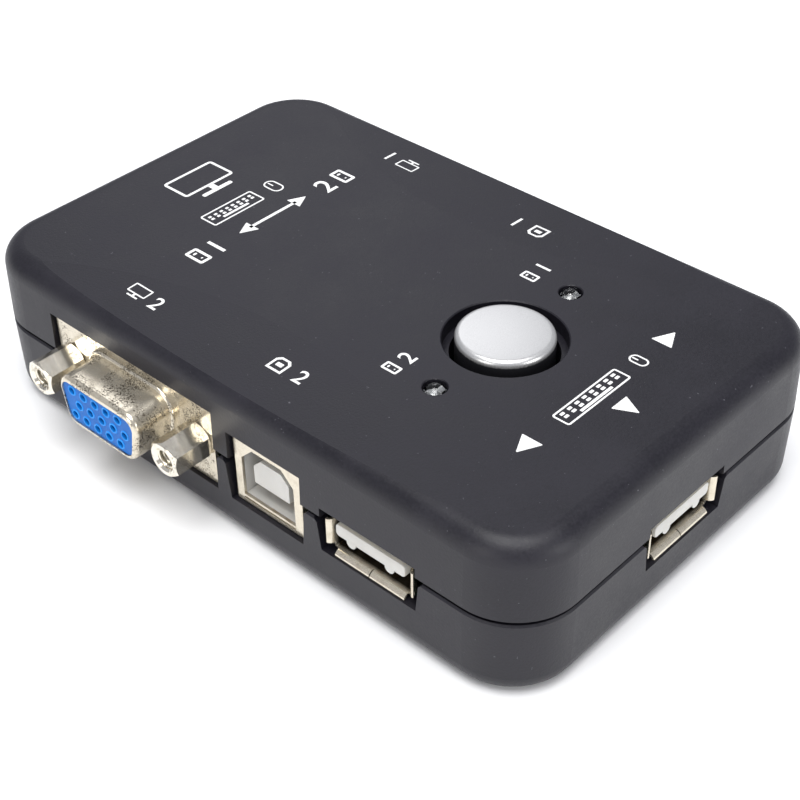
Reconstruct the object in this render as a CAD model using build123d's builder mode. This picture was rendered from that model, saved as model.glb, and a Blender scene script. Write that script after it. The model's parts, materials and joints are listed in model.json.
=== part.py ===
from build123d import *
import os
from math import radians, sqrt, tan

os.makedirs("parts", exist_ok=True)

# A two-computer desktop switch box, in millimetres. The origin is the centre of the underside.
# X runs across the box, Y runs along it towards the monitor socket, and Z is up.

# Case
case_width = 62.0
case_length = 98.0
case_height = 23.6
parting_height = 12.2  # where the two shells meet
corner_radius = 9.2
top_edge_radius = 3.0
bottom_edge_radius = 3.0
wall = 2.0
roof = 2.2
floor = 2.0
draft_angle = 1.2  # the walls lean in, away from the parting line
parting_gap = 0.4
parting_chamfer = 0.25
lip_height = 1.1  # a lip inside the joint hides the gap
lip_thickness = 0.9
lip_clearance = 0.1

# Two shallow hollows in the roof, one along each long side
relief_radius = 65.0
relief_waist = 17.0  # from the centre line to the nearest point of a hollow
relief_centre_y = 1.5
relief_slope = 0.045

# Case screws, and the posts that they pass through
post_radius = 3.6
post_inset = 7.5  # from each outer side to the post's axis
case_screw_radius = 1.3
case_screw_length = 14.0
case_head_radius = 2.6
case_head_height = 1.7
head_recess_depth = 2.6
head_clearance = 0.2
screw_clearance = 0.2
thread_clearance = 0.02  # threads are plain, and stand this far off their holes
cross_width = 0.8
cross_depth = 0.9

# Main board
board_top_height = 6.0
board_thickness = 1.6
board_clearance = 0.4
board_screw_radius = 1.0
board_screw_length = 4.6
board_head_radius = 1.9
board_head_height = 1.3
board_boss_radius = 2.6
board_screw_ys = (-26.8, 30.5)
pad_radius = 1.6
pad_x = 16.5
pad_inset = 7.5  # from the case end to a supporting pad
solder_length = 1.2  # how far a lead comes out under the board
lead_size = 0.5
lead_clearance = 0.1

# Places of the sockets: along Y on the long sides, and at X = 0 on the ends
vga_y = 17.4
usb_b_y = -7.6
usb_a_y = -25.0

# Monitor sockets with 15 contacts
vga_recess = 0.65  # the flange's front face behind the case wall
vga_rise = 6.2  # from the board to the middle of the socket
vga_opening_clearance_x = 0.5
vga_opening_clearance_y = 0.2
flange_width = 30.9
flange_height = 12.1
flange_sheet = 0.5
d_width = 16.3
d_height = 7.9
d_slant = 10.0
d_corner = 2.3
d_reach = 6.3
d_sheet = 0.45
d_rim = 0.8  # the front edge curls in by this much
d_rim_depth = 0.7
d_collar = 1.0  # the drawn step where the tube leaves the flange
d_collar_reach = 0.8
insert_setback = 0.2
insert_clearance = 0.05
pin_pitch = 2.29
pin_row_pitch = 1.98
pins_per_row = 5
pin_hole_radius = 0.55
vga_body_width = 19.4
vga_body_height = 11.0
vga_body_depth = 7.5
vga_leg_setback = 0.8
vga_leg_pitch = 2.0
vga_contact_start = 1.5
jack_spacing = 24.99
jack_across_flats = 4.75
jack_reach = 6.0
jack_chamfer = 0.35
jack_hole_radius = 1.2
jack_hole_depth = 5.0
jack_stud_radius = 1.4
jack_stud_length = 5.0
bracket_sheet = 0.8
bracket_width = 4.8
bracket_foot_length = 5.5
prong_width = 1.4
prong_sheet = 0.5

# Square sockets for the computer leads
usb_b_recess = 0.75
usb_b_width = 12.04
usb_b_height = 10.7
usb_b_depth = 15.6
usb_b_sheet = 0.4
usb_b_prong_length = 2.8
usb_b_prong_setback = 5.2
usb_b_opening_clearance = 0.45
usb_b_opening_clearance_y = 0.1
plug_b_width = 9.2
plug_b_height = 8.1
plug_b_chamfer = 2.0
plug_b_depth = 9.5
tongue_b_width = 6.2
tongue_b_height = 4.0
tongue_b_rise = 0.4
tongue_b_setback = 0.6
tongue_b_chamfer = 1.3
slit_height = 0.3

# Flat sockets for the keyboard, the mouse and one more device
usb_a_recess = 0.35
usb_a_rise = 4.55
usb_a_width = 13.1
usb_a_height = 5.7
usb_a_depth = 13.8
usb_a_sheet = 0.3
usb_a_prong_setback = 6.9
lip_reach = 0.9  # the flared lips at the mouth
lip_spread = 0.55
lip_end_gap = 0.9
lip_seam = 0.16
usb_a_opening_width = 15.4
usb_a_opening_height = 6.9
tongue_a_width = 11.2
tongue_a_height = 1.84
tongue_a_bottom = 0.05
tongue_a_setback = 0.3
tongue_a_length = 9.7
bump_x = 3.1
bump_radius = 0.75
bump_length = 2.0
usb_fill_clearance = 0.05
usb_a_back_depth = 1.6

# Contacts of the flat and square sockets
blade_width = 0.9
blade_thickness = 0.2
blade_start = 1.6
blade_b_x = 1.25
blade_b_leg_setbacks = {1: 2.4, -1: 0.6}  # above and below the tongue, from the block's back
blade_a_xs = (-3.5, -1.0, 1.0, 3.5)
blade_a_leg_setback = 0.8

# Cut-outs in the lower shell flare a little towards the parting line
flare = 0.5
flare_corner = 0.8

# Push button
button_y = -20.2
button_radius = 6.45
button_ledge = 0.95  # how far the hole steps in to the guide
button_hole_chamfer = 0.15
button_proud = 1.0
button_edge_radius = 0.7
button_travel = 0.5
button_skin = 1.3
button_foot_overlap = 0.8  # how far the foot reaches under the guide
button_foot_height = 1.2
button_foot_gap = 0.3
guide_clearance = 0.7
guide_wall = 2.2
guide_height = 2.9
stem_radius = 3.0

# Momentary switch under the button
switch_size = 6.2
switch_height = 2.8
switch_cover_sheet = 0.3
switch_floor = 1.0
switch_well_radius = 2.3
dome_radius = 2.0
dome_left = 0.2  # what is left of the dome's height when the button is down
dome_sheet = 0.2
plunger_radius = 1.75
plunger_collar_radius = 2.1
plunger_collar_height = 0.6
plunger_clearance = 0.1
plunger_fit = 0.03
plunger_in_cap = 3.5
switch_top = 13.0  # the plunger's top above the board
switch_lead_y = 2.25

# Lights
led_x = 13.35
led_radius = 1.5
led_hole_radius = 1.6
led_hole_chamfer = 0.12
led_proud = 0.3  # the dome stands this far above the roof
led_length = 5.4
led_rim_radius = 1.9
led_rim_height = 1.0
led_lead_pitch = 1.27
led_lead_depth = 2.6

# Worked out from the sizes above
half_width = case_width / 2
half_length = case_length / 2
inner_width = case_width - 2 * wall
inner_length = case_length - 2 * wall
inner_radius = corner_radius - wall
post_x = half_width - post_inset
post_y = half_length - post_inset
board_bottom_height = board_top_height - board_thickness
lead_end_height = board_bottom_height - solder_length
vga_height = board_top_height + vga_rise
usb_b_height_centre = board_top_height + usb_b_height / 2
usb_a_height_centre = board_top_height + usb_a_rise
guide_radius = button_radius + guide_clearance
button_hole_radius = guide_radius + button_ledge
button_foot_radius = guide_radius + button_foot_overlap
hole_reach = lead_size * sqrt(2) / 2 + lead_clearance
far = 2 * case_length  # longer than anything it cuts


def save(part, label):
    """Name a finished piece and write it out."""
    part.label = label
    export_step(part, f"parts/{label}.step")


def port_plane(side, along, height, recess):
    """A socket's own frame: X to the right and Y up as its mouth is seen, Z out of the case."""
    planes = {
        "left": ((recess - half_width, along, height), (0, -1, 0), (-1, 0, 0)),
        "right": ((half_width - recess, along, height), (0, 1, 0), (1, 0, 0)),
        "near": ((along, recess - half_length, height), (1, 0, 0), (0, -1, 0)),
        "far": ((along, half_length - recess, height), (-1, 0, 0), (0, 1, 0)),
    }
    origin, x_dir, z_dir = planes[side]
    return Plane(origin=origin, x_dir=x_dir, z_dir=z_dir)


vga_ports = {
    "vga_computer_2": port_plane("left", vga_y, vga_height, vga_recess),
    "vga_computer_1": port_plane("right", vga_y, vga_height, vga_recess),
    "vga_monitor": port_plane("far", 0, vga_height, vga_recess),
}
usb_b_ports = {
    "usb_computer_2": port_plane("left", usb_b_y, usb_b_height_centre, usb_b_recess),
    "usb_computer_1": port_plane("right", usb_b_y, usb_b_height_centre, usb_b_recess),
}
usb_a_ports = {
    "usb_device_left": port_plane("left", usb_a_y, usb_a_height_centre, usb_a_recess),
    "usb_device_right": port_plane("right", usb_a_y, usb_a_height_centre, usb_a_recess),
    "usb_device_near": port_plane("near", 0, usb_a_height_centre, usb_a_recess),
}
led_places = {"led_1": (led_x, button_y), "led_2": (-led_x, button_y)}
post_places = [(x, y) for x in (-post_x, post_x) for y in (-post_y, post_y)]
board_screw_places = [(0, y) for y in board_screw_ys]
pad_y = half_length - pad_inset
pad_places = [(x, y) for x in (-pad_x, pad_x) for y in (-pad_y, pad_y)]

vga_opening = (flange_width + 2 * vga_opening_clearance_x, flange_height + 2 * vga_opening_clearance_y)
usb_b_opening = (usb_b_width + 2 * usb_b_opening_clearance, usb_b_height + 2 * usb_b_opening_clearance_y)
usb_a_opening = (usb_a_opening_width, usb_a_opening_height)
openings = [(port, vga_opening) for port in vga_ports.values()]
openings += [(port, usb_b_opening) for port in usb_b_ports.values()]
openings += [(port, usb_a_opening) for port in usb_a_ports.values()]


def upper_opening(port, size):
    """The square-cornered hole that a socket needs in the upper shell's wall."""
    with BuildPart() as cutter:
        with BuildSketch(port):
            Rectangle(*size)
        extrude(amount=2 * wall, both=True)
    return cutter.part


def lower_opening(port, size):
    """The same hole in the lower shell, flared towards the parting line."""
    half = size[0] / 2
    bottom = -size[1] / 2
    top = parting_height - port.origin.Z
    right = [
        (half, bottom),
        (half + flare, top - flare_corner),
        (half + flare + flare_corner, top),
        (half + flare + flare_corner, top + 2 * lip_height),
    ]
    left = [(-x, y) for x, y in reversed(right)]
    with BuildPart() as cutter:
        with BuildSketch(port):
            Polygon(*right, *left, align=None)
        extrude(amount=2 * wall, both=True)
    return cutter.part


upper_cutters = [upper_opening(port, size) for port, size in openings]
lower_cutters = [lower_opening(port, size) for port, size in openings]

# Upper shell: the roof with its relief, the button's guide, and a boss over each post
upper_bottom = parting_height + parting_gap / 2
lower_top = parting_height - parting_gap / 2
roof_underside = case_height - roof
rebate = lip_thickness + lip_clearance
relief_depth = relief_slope * (relief_radius + relief_waist)
relief_x = relief_waist + relief_radius
boss_hole_depth = head_recess_depth + case_screw_length - parting_height + screw_clearance

roof_holes = [(0, button_y, button_hole_chamfer)]
roof_holes += [(x, y, led_hole_chamfer) for x, y in led_places.values()]

with BuildPart() as upper_shell:
    with BuildSketch(Plane.XY.offset(upper_bottom)):
        RectangleRounded(case_width, case_length, corner_radius)
    extrude(amount=case_height - upper_bottom, taper=draft_angle)
    fillet(upper_shell.faces().sort_by(Axis.Z)[-1].edges(), top_edge_radius)
    chamfer(upper_shell.faces().sort_by(Axis.Z)[0].edges(), parting_chamfer)
    with Locations((-relief_x, relief_centre_y, case_height), (relief_x, relief_centre_y, case_height)):
        Cone(
            relief_radius - relief_depth / relief_slope / 2,
            relief_radius + relief_depth / relief_slope / 2,
            relief_depth,
            mode=Mode.SUBTRACT,
        )
    with BuildSketch(Plane.XY.offset(upper_bottom)):
        RectangleRounded(inner_width, inner_length, inner_radius)
    extrude(amount=roof_underside - upper_bottom, mode=Mode.SUBTRACT)
    with BuildSketch(Plane.XY.offset(upper_bottom)):
        RectangleRounded(inner_width + 2 * rebate, inner_length + 2 * rebate, inner_radius + rebate)
    extrude(amount=lower_top + lip_height + lip_clearance - upper_bottom, mode=Mode.SUBTRACT)
    with BuildSketch(Plane.XY.offset(parting_height)):
        with Locations(*post_places):
            Circle(post_radius)
    extrude(amount=roof_underside - parting_height)
    with BuildSketch(Plane.XY.offset(roof_underside - guide_height)):
        with Locations((0, button_y)):
            Circle(guide_radius + guide_wall)
    extrude(amount=guide_height)
    with BuildSketch(Plane.XY.offset(parting_height)):
        with Locations(*post_places):
            Circle(case_screw_radius + thread_clearance)
    extrude(amount=boss_hole_depth, mode=Mode.SUBTRACT)
    with BuildSketch(Plane.XY.offset(roof_underside - guide_height)):
        with Locations((0, button_y)):
            Circle(guide_radius)
        with Locations(*led_places.values()):
            Circle(led_hole_radius)
    extrude(amount=far, mode=Mode.SUBTRACT)
    with BuildSketch(Plane.XY.offset(roof_underside)):
        with Locations((0, button_y)):
            Circle(button_hole_radius)
    extrude(amount=far, mode=Mode.SUBTRACT)
    for x, y, size in roof_holes:
        rim = upper_shell.edges().group_by(Axis.Z)[-1].sort_by_distance((x, y, case_height))[0]
        chamfer(rim, size)
    for cutter in upper_cutters:
        add(cutter, mode=Mode.SUBTRACT)
save(upper_shell.part, "upper_shell")

# Lower shell: the tray, its lip, the screw posts, and what the board stands on
board_boss_depth = board_screw_length - board_thickness + screw_clearance

with BuildPart() as lower_shell:
    with BuildSketch(Plane(origin=(0, 0, lower_top), z_dir=(0, 0, -1))):
        RectangleRounded(case_width, case_length, corner_radius)
    extrude(amount=lower_top, taper=draft_angle)
    fillet(lower_shell.faces().sort_by(Axis.Z)[0].edges(), bottom_edge_radius)
    chamfer(lower_shell.faces().sort_by(Axis.Z)[-1].edges(), parting_chamfer)
    with BuildSketch(Plane.XY.offset(lower_top)):
        RectangleRounded(
            inner_width + 2 * lip_thickness, inner_length + 2 * lip_thickness, inner_radius + lip_thickness
        )
    extrude(amount=lip_height)
    with BuildSketch(Plane.XY.offset(floor)):
        RectangleRounded(inner_width, inner_length, inner_radius)
    extrude(amount=case_height, mode=Mode.SUBTRACT)
    with BuildSketch(Plane.XY.offset(floor)):
        with Locations(*post_places):
            Circle(post_radius)
    extrude(amount=parting_height - floor)
    with BuildSketch(Plane.XY.offset(floor)):
        with Locations(*board_screw_places):
            Circle(board_boss_radius)
        with Locations(*pad_places):
            Circle(pad_radius)
    extrude(amount=board_bottom_height - floor)
    with BuildSketch(Plane.XY):
        with Locations(*post_places):
            Circle(case_head_radius + head_clearance)
    extrude(amount=head_recess_depth, mode=Mode.SUBTRACT)
    with BuildSketch(Plane.XY):
        with Locations(*post_places):
            Circle(case_screw_radius + screw_clearance)
    extrude(amount=far, mode=Mode.SUBTRACT)
    with BuildSketch(Plane.XY.offset(board_bottom_height - board_boss_depth)):
        with Locations(*board_screw_places):
            Circle(board_screw_radius + thread_clearance)
    extrude(amount=far, mode=Mode.SUBTRACT)
    for cutter in lower_cutters:
        add(cutter, mode=Mode.SUBTRACT)
save(lower_shell.part, "lower_shell")


def screws(places, seat, direction, shaft_radius, length, head_radius, head_height):
    """Pan-head screws whose heads seat at one height, with their shafts along the direction."""
    with BuildPart() as group:
        for x, y in places:
            seat_plane = Plane(origin=(x, y, seat), z_dir=(0, 0, direction))
            with BuildSketch(seat_plane):
                Circle(shaft_radius)
            extrude(amount=length)
            with BuildSketch(seat_plane):
                Circle(head_radius)
            extrude(amount=-head_height)
            top_point = (x, y, seat - direction * head_height)
            head_top = group.faces().filter_by(Axis.Z).sort_by_distance(top_point)[0]
            fillet(head_top.edges(), head_height / 2)
            with BuildSketch(seat_plane.offset(-head_height)):
                Rectangle(cross_width, head_radius)
                Rectangle(head_radius, cross_width)
            extrude(amount=cross_depth, mode=Mode.SUBTRACT)
    return group.part


save(
    screws(
        post_places, head_recess_depth, 1, case_screw_radius, case_screw_length, case_head_radius,
        case_head_height,
    ),
    "case_screws",
)
save(
    screws(
        board_screw_places, board_top_height, -1, board_screw_radius, board_screw_length, board_head_radius,
        board_head_height,
    ),
    "board_screws",
)


def from_port(port, across, out):
    """Where a point beside a socket's axis lies on the board, as X and Y."""
    point = port.from_local_coords((across, 0, out))
    return (point.X, point.Y)


# Monitor sockets. Row 0 is the top row, and the middle row stands half a pitch to the right.
vga_body_back = -flange_sheet - vga_body_depth
vga_pins = []
for row in range(3):
    shift = pin_pitch / 4 if row == 1 else -pin_pitch / 4
    for column in range(pins_per_row):
        across = (column - (pins_per_row - 1) / 2) * pin_pitch + shift
        up = (1 - row) * pin_row_pitch
        leg = vga_body_back - vga_leg_setback - (2 - row) * vga_leg_pitch
        vga_pins.append((across, up, leg))
jack_places = [(-jack_spacing / 2, 0), (jack_spacing / 2, 0)]
prong_out = -flange_sheet - bracket_sheet - bracket_foot_length / 2
bore_inset = 2 * (d_sheet + insert_clearance)
nose_inset = 2 * (d_rim + insert_clearance)


def d_points(width, height):
    """The corners of the socket's outline, with its wide side up."""
    lean = height * tan(radians(d_slant))
    return [
        (width / 2, height / 2),
        (-width / 2, height / 2),
        (lean - width / 2, -height / 2),
        (width / 2 - lean, -height / 2),
    ]


def d_prism(port, start, reach, width, height, corner):
    """A bar with the socket's outline, from start to reach along its axis."""
    with BuildPart() as prism:
        with BuildSketch(port.offset(start)) as outline:
            Polygon(*d_points(width, height))
            fillet(outline.vertices(), corner)
        extrude(amount=reach - start)
    return prism.part


def vga_shell(port):
    """The drawn sheet front: a flange with a hollow tube that has a curled front edge."""
    back = -flange_sheet
    collar = d_prism(
        port, back, d_collar_reach, d_width + 2 * d_collar, d_height + 2 * d_collar, d_corner + d_collar
    )
    tube = d_prism(port, back, d_reach, d_width, d_height, d_corner)
    bore = d_prism(
        port, back, d_reach - d_rim_depth, d_width - 2 * d_sheet, d_height - 2 * d_sheet, d_corner - d_sheet
    )
    mouth = d_prism(port, back, d_reach, d_width - 2 * d_rim, d_height - 2 * d_rim, d_corner - d_rim)
    with BuildPart() as shell:
        with BuildSketch(port):
            Rectangle(flange_width, flange_height)
        extrude(amount=back)
        add(collar)
        step_point = port.from_local_coords((0, 0, d_collar_reach))
        step = shell.faces().filter_by(port).sort_by_distance(step_point)[0]
        fillet(step.edges(), d_collar_reach / 2)
        add(tube)
        front = shell.faces().filter_by(port).sort_by_distance(port.from_local_coords((0, 0, d_reach)))[0]
        fillet(front.edges(), d_rim_depth)
        add(bore, mode=Mode.SUBTRACT)
        add(mouth, mode=Mode.SUBTRACT)
        with BuildSketch(port):
            with Locations(*jack_places):
                Circle(jack_stud_radius + screw_clearance)
        extrude(amount=back, mode=Mode.SUBTRACT)
    return shell.part


def vga_insulator(port):
    """The blue moulding: a nose with fifteen holes, and the block behind the flange."""
    nose = d_prism(
        port, -flange_sheet, d_reach - insert_setback, d_width - nose_inset, d_height - nose_inset,
        d_corner - d_rim - insert_clearance,
    )
    shank = d_prism(
        port, -flange_sheet, d_reach - d_rim_depth - insert_clearance, d_width - bore_inset,
        d_height - bore_inset, d_corner - d_sheet - insert_clearance,
    )
    with BuildPart() as insulator:
        with BuildSketch(port.offset(-flange_sheet)):
            with Locations((0, vga_body_height / 2 - vga_rise)):
                Rectangle(vga_body_width, vga_body_height)
        extrude(amount=-vga_body_depth)
        add(nose)
        add(shank)
        with BuildSketch(port.offset(vga_body_back)):
            with Locations(*[(across, up) for across, up, leg in vga_pins]):
                Circle(pin_hole_radius)
        extrude(amount=far, mode=Mode.SUBTRACT)
    return insulator.part


def vga_contacts(port):
    """Fifteen square wires that leave the block's back and turn down through the board."""
    bottom = lead_end_height - port.origin.Z
    with BuildPart(port) as contacts:
        for across, up, leg in vga_pins:
            with Locations((across, up, (vga_contact_start + leg - lead_size / 2) / 2)):
                Box(lead_size, lead_size, vga_contact_start - leg + lead_size / 2)
            with Locations((across, (up + lead_size / 2 + bottom) / 2, leg)):
                Box(lead_size, up + lead_size / 2 - bottom, lead_size)
    return contacts.part


def vga_brackets(port):
    """Two angle brackets behind the flange, each with a foot and a prong in the board."""
    plate_back = -flange_sheet - bracket_sheet
    prong_bottom = lead_end_height - port.origin.Z
    with BuildPart(port) as brackets:
        for side in (-1, 1):
            across = side * jack_spacing / 2
            with Locations((across, 0, (plate_back - flange_sheet) / 2)):
                Box(bracket_width, 2 * vga_rise, bracket_sheet)
            with Locations((across, prong_sheet / 2 - vga_rise, plate_back - bracket_foot_length / 2)):
                Box(bracket_width, prong_sheet, bracket_foot_length)
            with Locations((across, (prong_bottom - vga_rise) / 2, prong_out)):
                Box(prong_width, -vga_rise - prong_bottom, prong_sheet)
        with BuildSketch(port):
            with Locations(*jack_places):
                Circle(jack_stud_radius + thread_clearance)
        extrude(amount=plate_back, mode=Mode.SUBTRACT)
    return brackets.part


def vga_jackscrews(port):
    """Two hexagonal jack screws with a threaded hole in front and a stud behind."""
    with BuildPart() as jacks:
        with BuildSketch(port):
            with Locations(*jack_places):
                RegularPolygon(jack_across_flats / 2, 6, major_radius=False, rotation=30)
        extrude(amount=jack_reach)
        for across, up in jack_places:
            point = port.from_local_coords((across, up, jack_reach))
            tip = jacks.faces().filter_by(port).sort_by_distance(point)[0]
            chamfer(tip.edges(), jack_chamfer)
        with BuildSketch(port):
            with Locations(*jack_places):
                Circle(jack_stud_radius)
        extrude(amount=-jack_stud_length)
        with BuildSketch(port.offset(jack_reach)):
            with Locations(*jack_places):
                Circle(jack_hole_radius)
        extrude(amount=-jack_hole_depth, mode=Mode.SUBTRACT)
    return jacks.part


for name, port in vga_ports.items():
    save(vga_shell(port), f"{name}_shell")
    save(vga_insulator(port), f"{name}_insulator")
    save(vga_contacts(port), f"{name}_contacts")
    save(vga_brackets(port), f"{name}_brackets")
    save(vga_jackscrews(port), f"{name}_jackscrews")

# Square sockets
usb_b_bottom = -usb_b_height / 2
usb_b_inner_width = usb_b_width - 2 * usb_b_sheet
usb_b_inner_height = usb_b_height - 2 * usb_b_sheet
blade_b_legs = {side: -usb_b_depth - setback for side, setback in blade_b_leg_setbacks.items()}
blade_b_up = {
    side: tongue_b_rise + side * (tongue_b_height + blade_thickness) / 2 for side in blade_b_legs
}


def plug_b_outline(width, height, corner):
    """The square plug's outline, with both top corners cut off."""
    return [
        (-width / 2, -height / 2),
        (width / 2, -height / 2),
        (width / 2, height / 2 - corner),
        (width / 2 - corner, height / 2),
        (corner - width / 2, height / 2),
        (-width / 2, height / 2 - corner),
    ]


def usb_b_shell(port):
    """A folded sheet box with a plug-shaped mouth and two prongs."""
    prong_bottom = lead_end_height - port.origin.Z
    with BuildPart(port) as shell:
        with Locations((0, 0, -usb_b_depth / 2)):
            Box(usb_b_width, usb_b_height, usb_b_depth)
        front = shell.faces().filter_by(port).sort_by_distance(port.origin)[0]
        fillet(front.edges(), usb_b_sheet / 2)
        with Locations((0, 0, -usb_b_sheet - usb_b_depth / 2)):
            Box(usb_b_inner_width, usb_b_inner_height, usb_b_depth, mode=Mode.SUBTRACT)
        with BuildSketch(port):
            Polygon(*plug_b_outline(plug_b_width, plug_b_height, plug_b_chamfer))
            with Locations((0, -plug_b_height / 2 - slit_height - usb_b_sheet / 2)):
                Rectangle(plug_b_width, slit_height)
        extrude(amount=-usb_b_sheet, mode=Mode.SUBTRACT)
        for side in (-1, 1):
            across = side * (usb_b_width - usb_b_sheet) / 2
            with Locations((across, (usb_b_bottom + prong_bottom) / 2, -usb_b_prong_setback)):
                Box(usb_b_sheet, usb_b_bottom - prong_bottom, usb_b_prong_length)
    return shell.part


def usb_b_insulator(port):
    """The white block with the plug's hollow and the tongue that stands in it."""
    clearance = 2 * usb_fill_clearance
    depth = usb_b_depth - usb_b_sheet - usb_fill_clearance
    with BuildPart(port) as insulator:
        with Locations((0, 0, -usb_b_sheet - usb_fill_clearance - depth / 2)):
            Box(usb_b_inner_width - clearance, usb_b_inner_height - clearance, depth)
        with BuildSketch(port):
            Polygon(*plug_b_outline(plug_b_width, plug_b_height, plug_b_chamfer))
        extrude(amount=-plug_b_depth, mode=Mode.SUBTRACT)
        with BuildSketch(port.offset(-tongue_b_setback)):
            with Locations((0, tongue_b_rise)):
                Polygon(*plug_b_outline(tongue_b_width, tongue_b_height, tongue_b_chamfer))
        extrude(amount=tongue_b_setback - plug_b_depth)
        for side, up in blade_b_up.items():
            for across in (-blade_b_x, blade_b_x):
                with Locations((across, up, -plug_b_depth)):
                    Box(
                        blade_width + clearance, blade_thickness + clearance, 2 * usb_b_depth,
                        align=(Align.CENTER, Align.CENTER, Align.MAX), mode=Mode.SUBTRACT,
                    )
    return insulator.part


def blade(port, across, up, start, leg, bottom):
    """One flat contact that runs back along a tongue and turns down into the board."""
    with BuildPart(port) as contact:
        with Locations((across, up, (leg - lead_size / 2 - start) / 2)):
            Box(blade_width, blade_thickness, -start - leg + lead_size / 2)
        with Locations((across, (up + blade_thickness / 2 + bottom) / 2, leg)):
            Box(lead_size, up + blade_thickness / 2 - bottom, lead_size)
    return contact.part


def usb_b_contacts(port):
    """Two contacts above the tongue and two below it."""
    bottom = lead_end_height - port.origin.Z
    with BuildPart() as contacts:
        for side, leg in blade_b_legs.items():
            for across in (-blade_b_x, blade_b_x):
                add(blade(port, across, blade_b_up[side], blade_start, leg, bottom))
    return contacts.part


for name, port in usb_b_ports.items():
    save(usb_b_shell(port), f"{name}_shell")
    save(usb_b_insulator(port), f"{name}_insulator")
    save(usb_b_contacts(port), f"{name}_contacts")

# Flat sockets
usb_a_inner_width = usb_a_width - 2 * usb_a_sheet
usb_a_inner_height = usb_a_height - 2 * usb_a_sheet
usb_a_back = -lip_reach - usb_a_depth
blade_a_up = tongue_a_bottom - blade_thickness / 2
blade_a_leg = usb_a_back - usb_a_back_depth - blade_a_leg_setback


def flared_lip(port, outward, width, edge, seam):
    """One sheet lip that leans outward from one edge of the tube's mouth, with a seam in its middle."""
    section = Plane(origin=port.origin, x_dir=outward, z_dir=outward.cross(port.z_dir))
    with BuildPart() as lip:
        with BuildSketch(section):
            Polygon(
                (edge - usb_a_sheet, -lip_reach),
                (edge, -lip_reach),
                (edge + lip_spread, 0),
                (edge + lip_spread - usb_a_sheet, 0),
                align=None,
            )
        extrude(amount=width / 2, both=True)
        fillet(lip.edges().filter_by(section).group_by(Axis(port.origin, port.z_dir))[-1], usb_a_sheet / 3)
        if seam:
            with BuildSketch(section):
                with Locations((edge, 0)):
                    Rectangle(4 * lip_spread, lip_reach)
            extrude(amount=seam / 2, both=True, mode=Mode.SUBTRACT)
    return lip.part


def usb_a_shell(port):
    """A flat sheet tube with four flared lips and two prongs."""
    prong_bottom = lead_end_height - port.origin.Z
    lips = [
        flared_lip(port, port.y_dir, usb_a_width - 2 * lip_end_gap, usb_a_height / 2, 0),
        flared_lip(port, -port.y_dir, usb_a_width - 2 * lip_end_gap, usb_a_height / 2, lip_seam),
        flared_lip(port, port.x_dir, usb_a_height - 2 * lip_end_gap, usb_a_width / 2, 0),
        flared_lip(port, -port.x_dir, usb_a_height - 2 * lip_end_gap, usb_a_width / 2, 0),
    ]
    with BuildPart(port) as tube:
        with Locations((0, 0, -lip_reach - usb_a_depth / 2)):
            Box(usb_a_width, usb_a_height, usb_a_depth)
        fillet(tube.edges().filter_by(Axis(port.origin, port.z_dir)), 2 * usb_a_sheet)
        with Locations((0, 0, -lip_reach - usb_a_depth / 2)):
            Box(usb_a_inner_width, usb_a_inner_height, usb_a_depth, mode=Mode.SUBTRACT)
        for side in (-1, 1):
            with Locations((side * (usb_a_width - usb_a_sheet) / 2, prong_bottom / 2, -usb_a_prong_setback)):
                Box(usb_a_sheet, -prong_bottom, prong_width)
    with BuildPart() as shell:
        add(tube.part)
        for lip in lips:
            add(lip)
    return shell.part


def usb_a_insulator(port):
    """The white tongue, and the block behind it that closes the tube."""
    clearance = 2 * usb_fill_clearance
    tongue_back = -tongue_a_setback - tongue_a_length
    with BuildPart(port) as insulator:
        with Locations((0, tongue_a_bottom, -tongue_a_setback)):
            Box(
                tongue_a_width, tongue_a_height, tongue_a_length,
                align=(Align.CENTER, Align.MIN, Align.MAX),
            )
        with BuildSketch(port.offset(-tongue_a_setback)):
            with Locations((-bump_x, tongue_a_bottom), (bump_x, tongue_a_bottom)):
                Circle(bump_radius)
        extrude(amount=-bump_length)
        with Locations((0, 0, tongue_back)):
            Box(
                usb_a_inner_width - clearance, usb_a_inner_height - clearance, tongue_back - usb_a_back,
                align=(Align.CENTER, Align.CENTER, Align.MAX),
            )
        with Locations((0, usb_a_height / 2, usb_a_back)):
            Box(
                usb_a_inner_width, usb_a_height / 2 + usb_a_rise, usb_a_back_depth,
                align=(Align.CENTER, Align.MAX, Align.MAX),
            )
        for across in blade_a_xs:
            with Locations((across, blade_a_up, -bump_length)):
                Box(
                    blade_width + clearance, blade_thickness + clearance, far,
                    align=(Align.CENTER, Align.CENTER, Align.MAX), mode=Mode.SUBTRACT,
                )
    return insulator.part


def usb_a_contacts(port):
    """Four flat contacts under the tongue."""
    bottom = lead_end_height - port.origin.Z
    start = tongue_a_setback + bump_length
    with BuildPart() as contacts:
        for across in blade_a_xs:
            add(blade(port, across, blade_a_up, start, blade_a_leg, bottom))
    return contacts.part


for name, port in usb_a_ports.items():
    save(usb_a_shell(port), f"{name}_shell")
    save(usb_a_insulator(port), f"{name}_insulator")
    save(usb_a_contacts(port), f"{name}_contacts")

# Push button: a hollow cap with a foot that stays under the guide, and a stem over the plunger
button_top = case_height + button_proud
foot_top = roof_underside - guide_height - button_foot_gap
foot_bottom = foot_top - button_foot_height
plunger_top = board_top_height + switch_top
stem_bottom = plunger_top - plunger_in_cap

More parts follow.
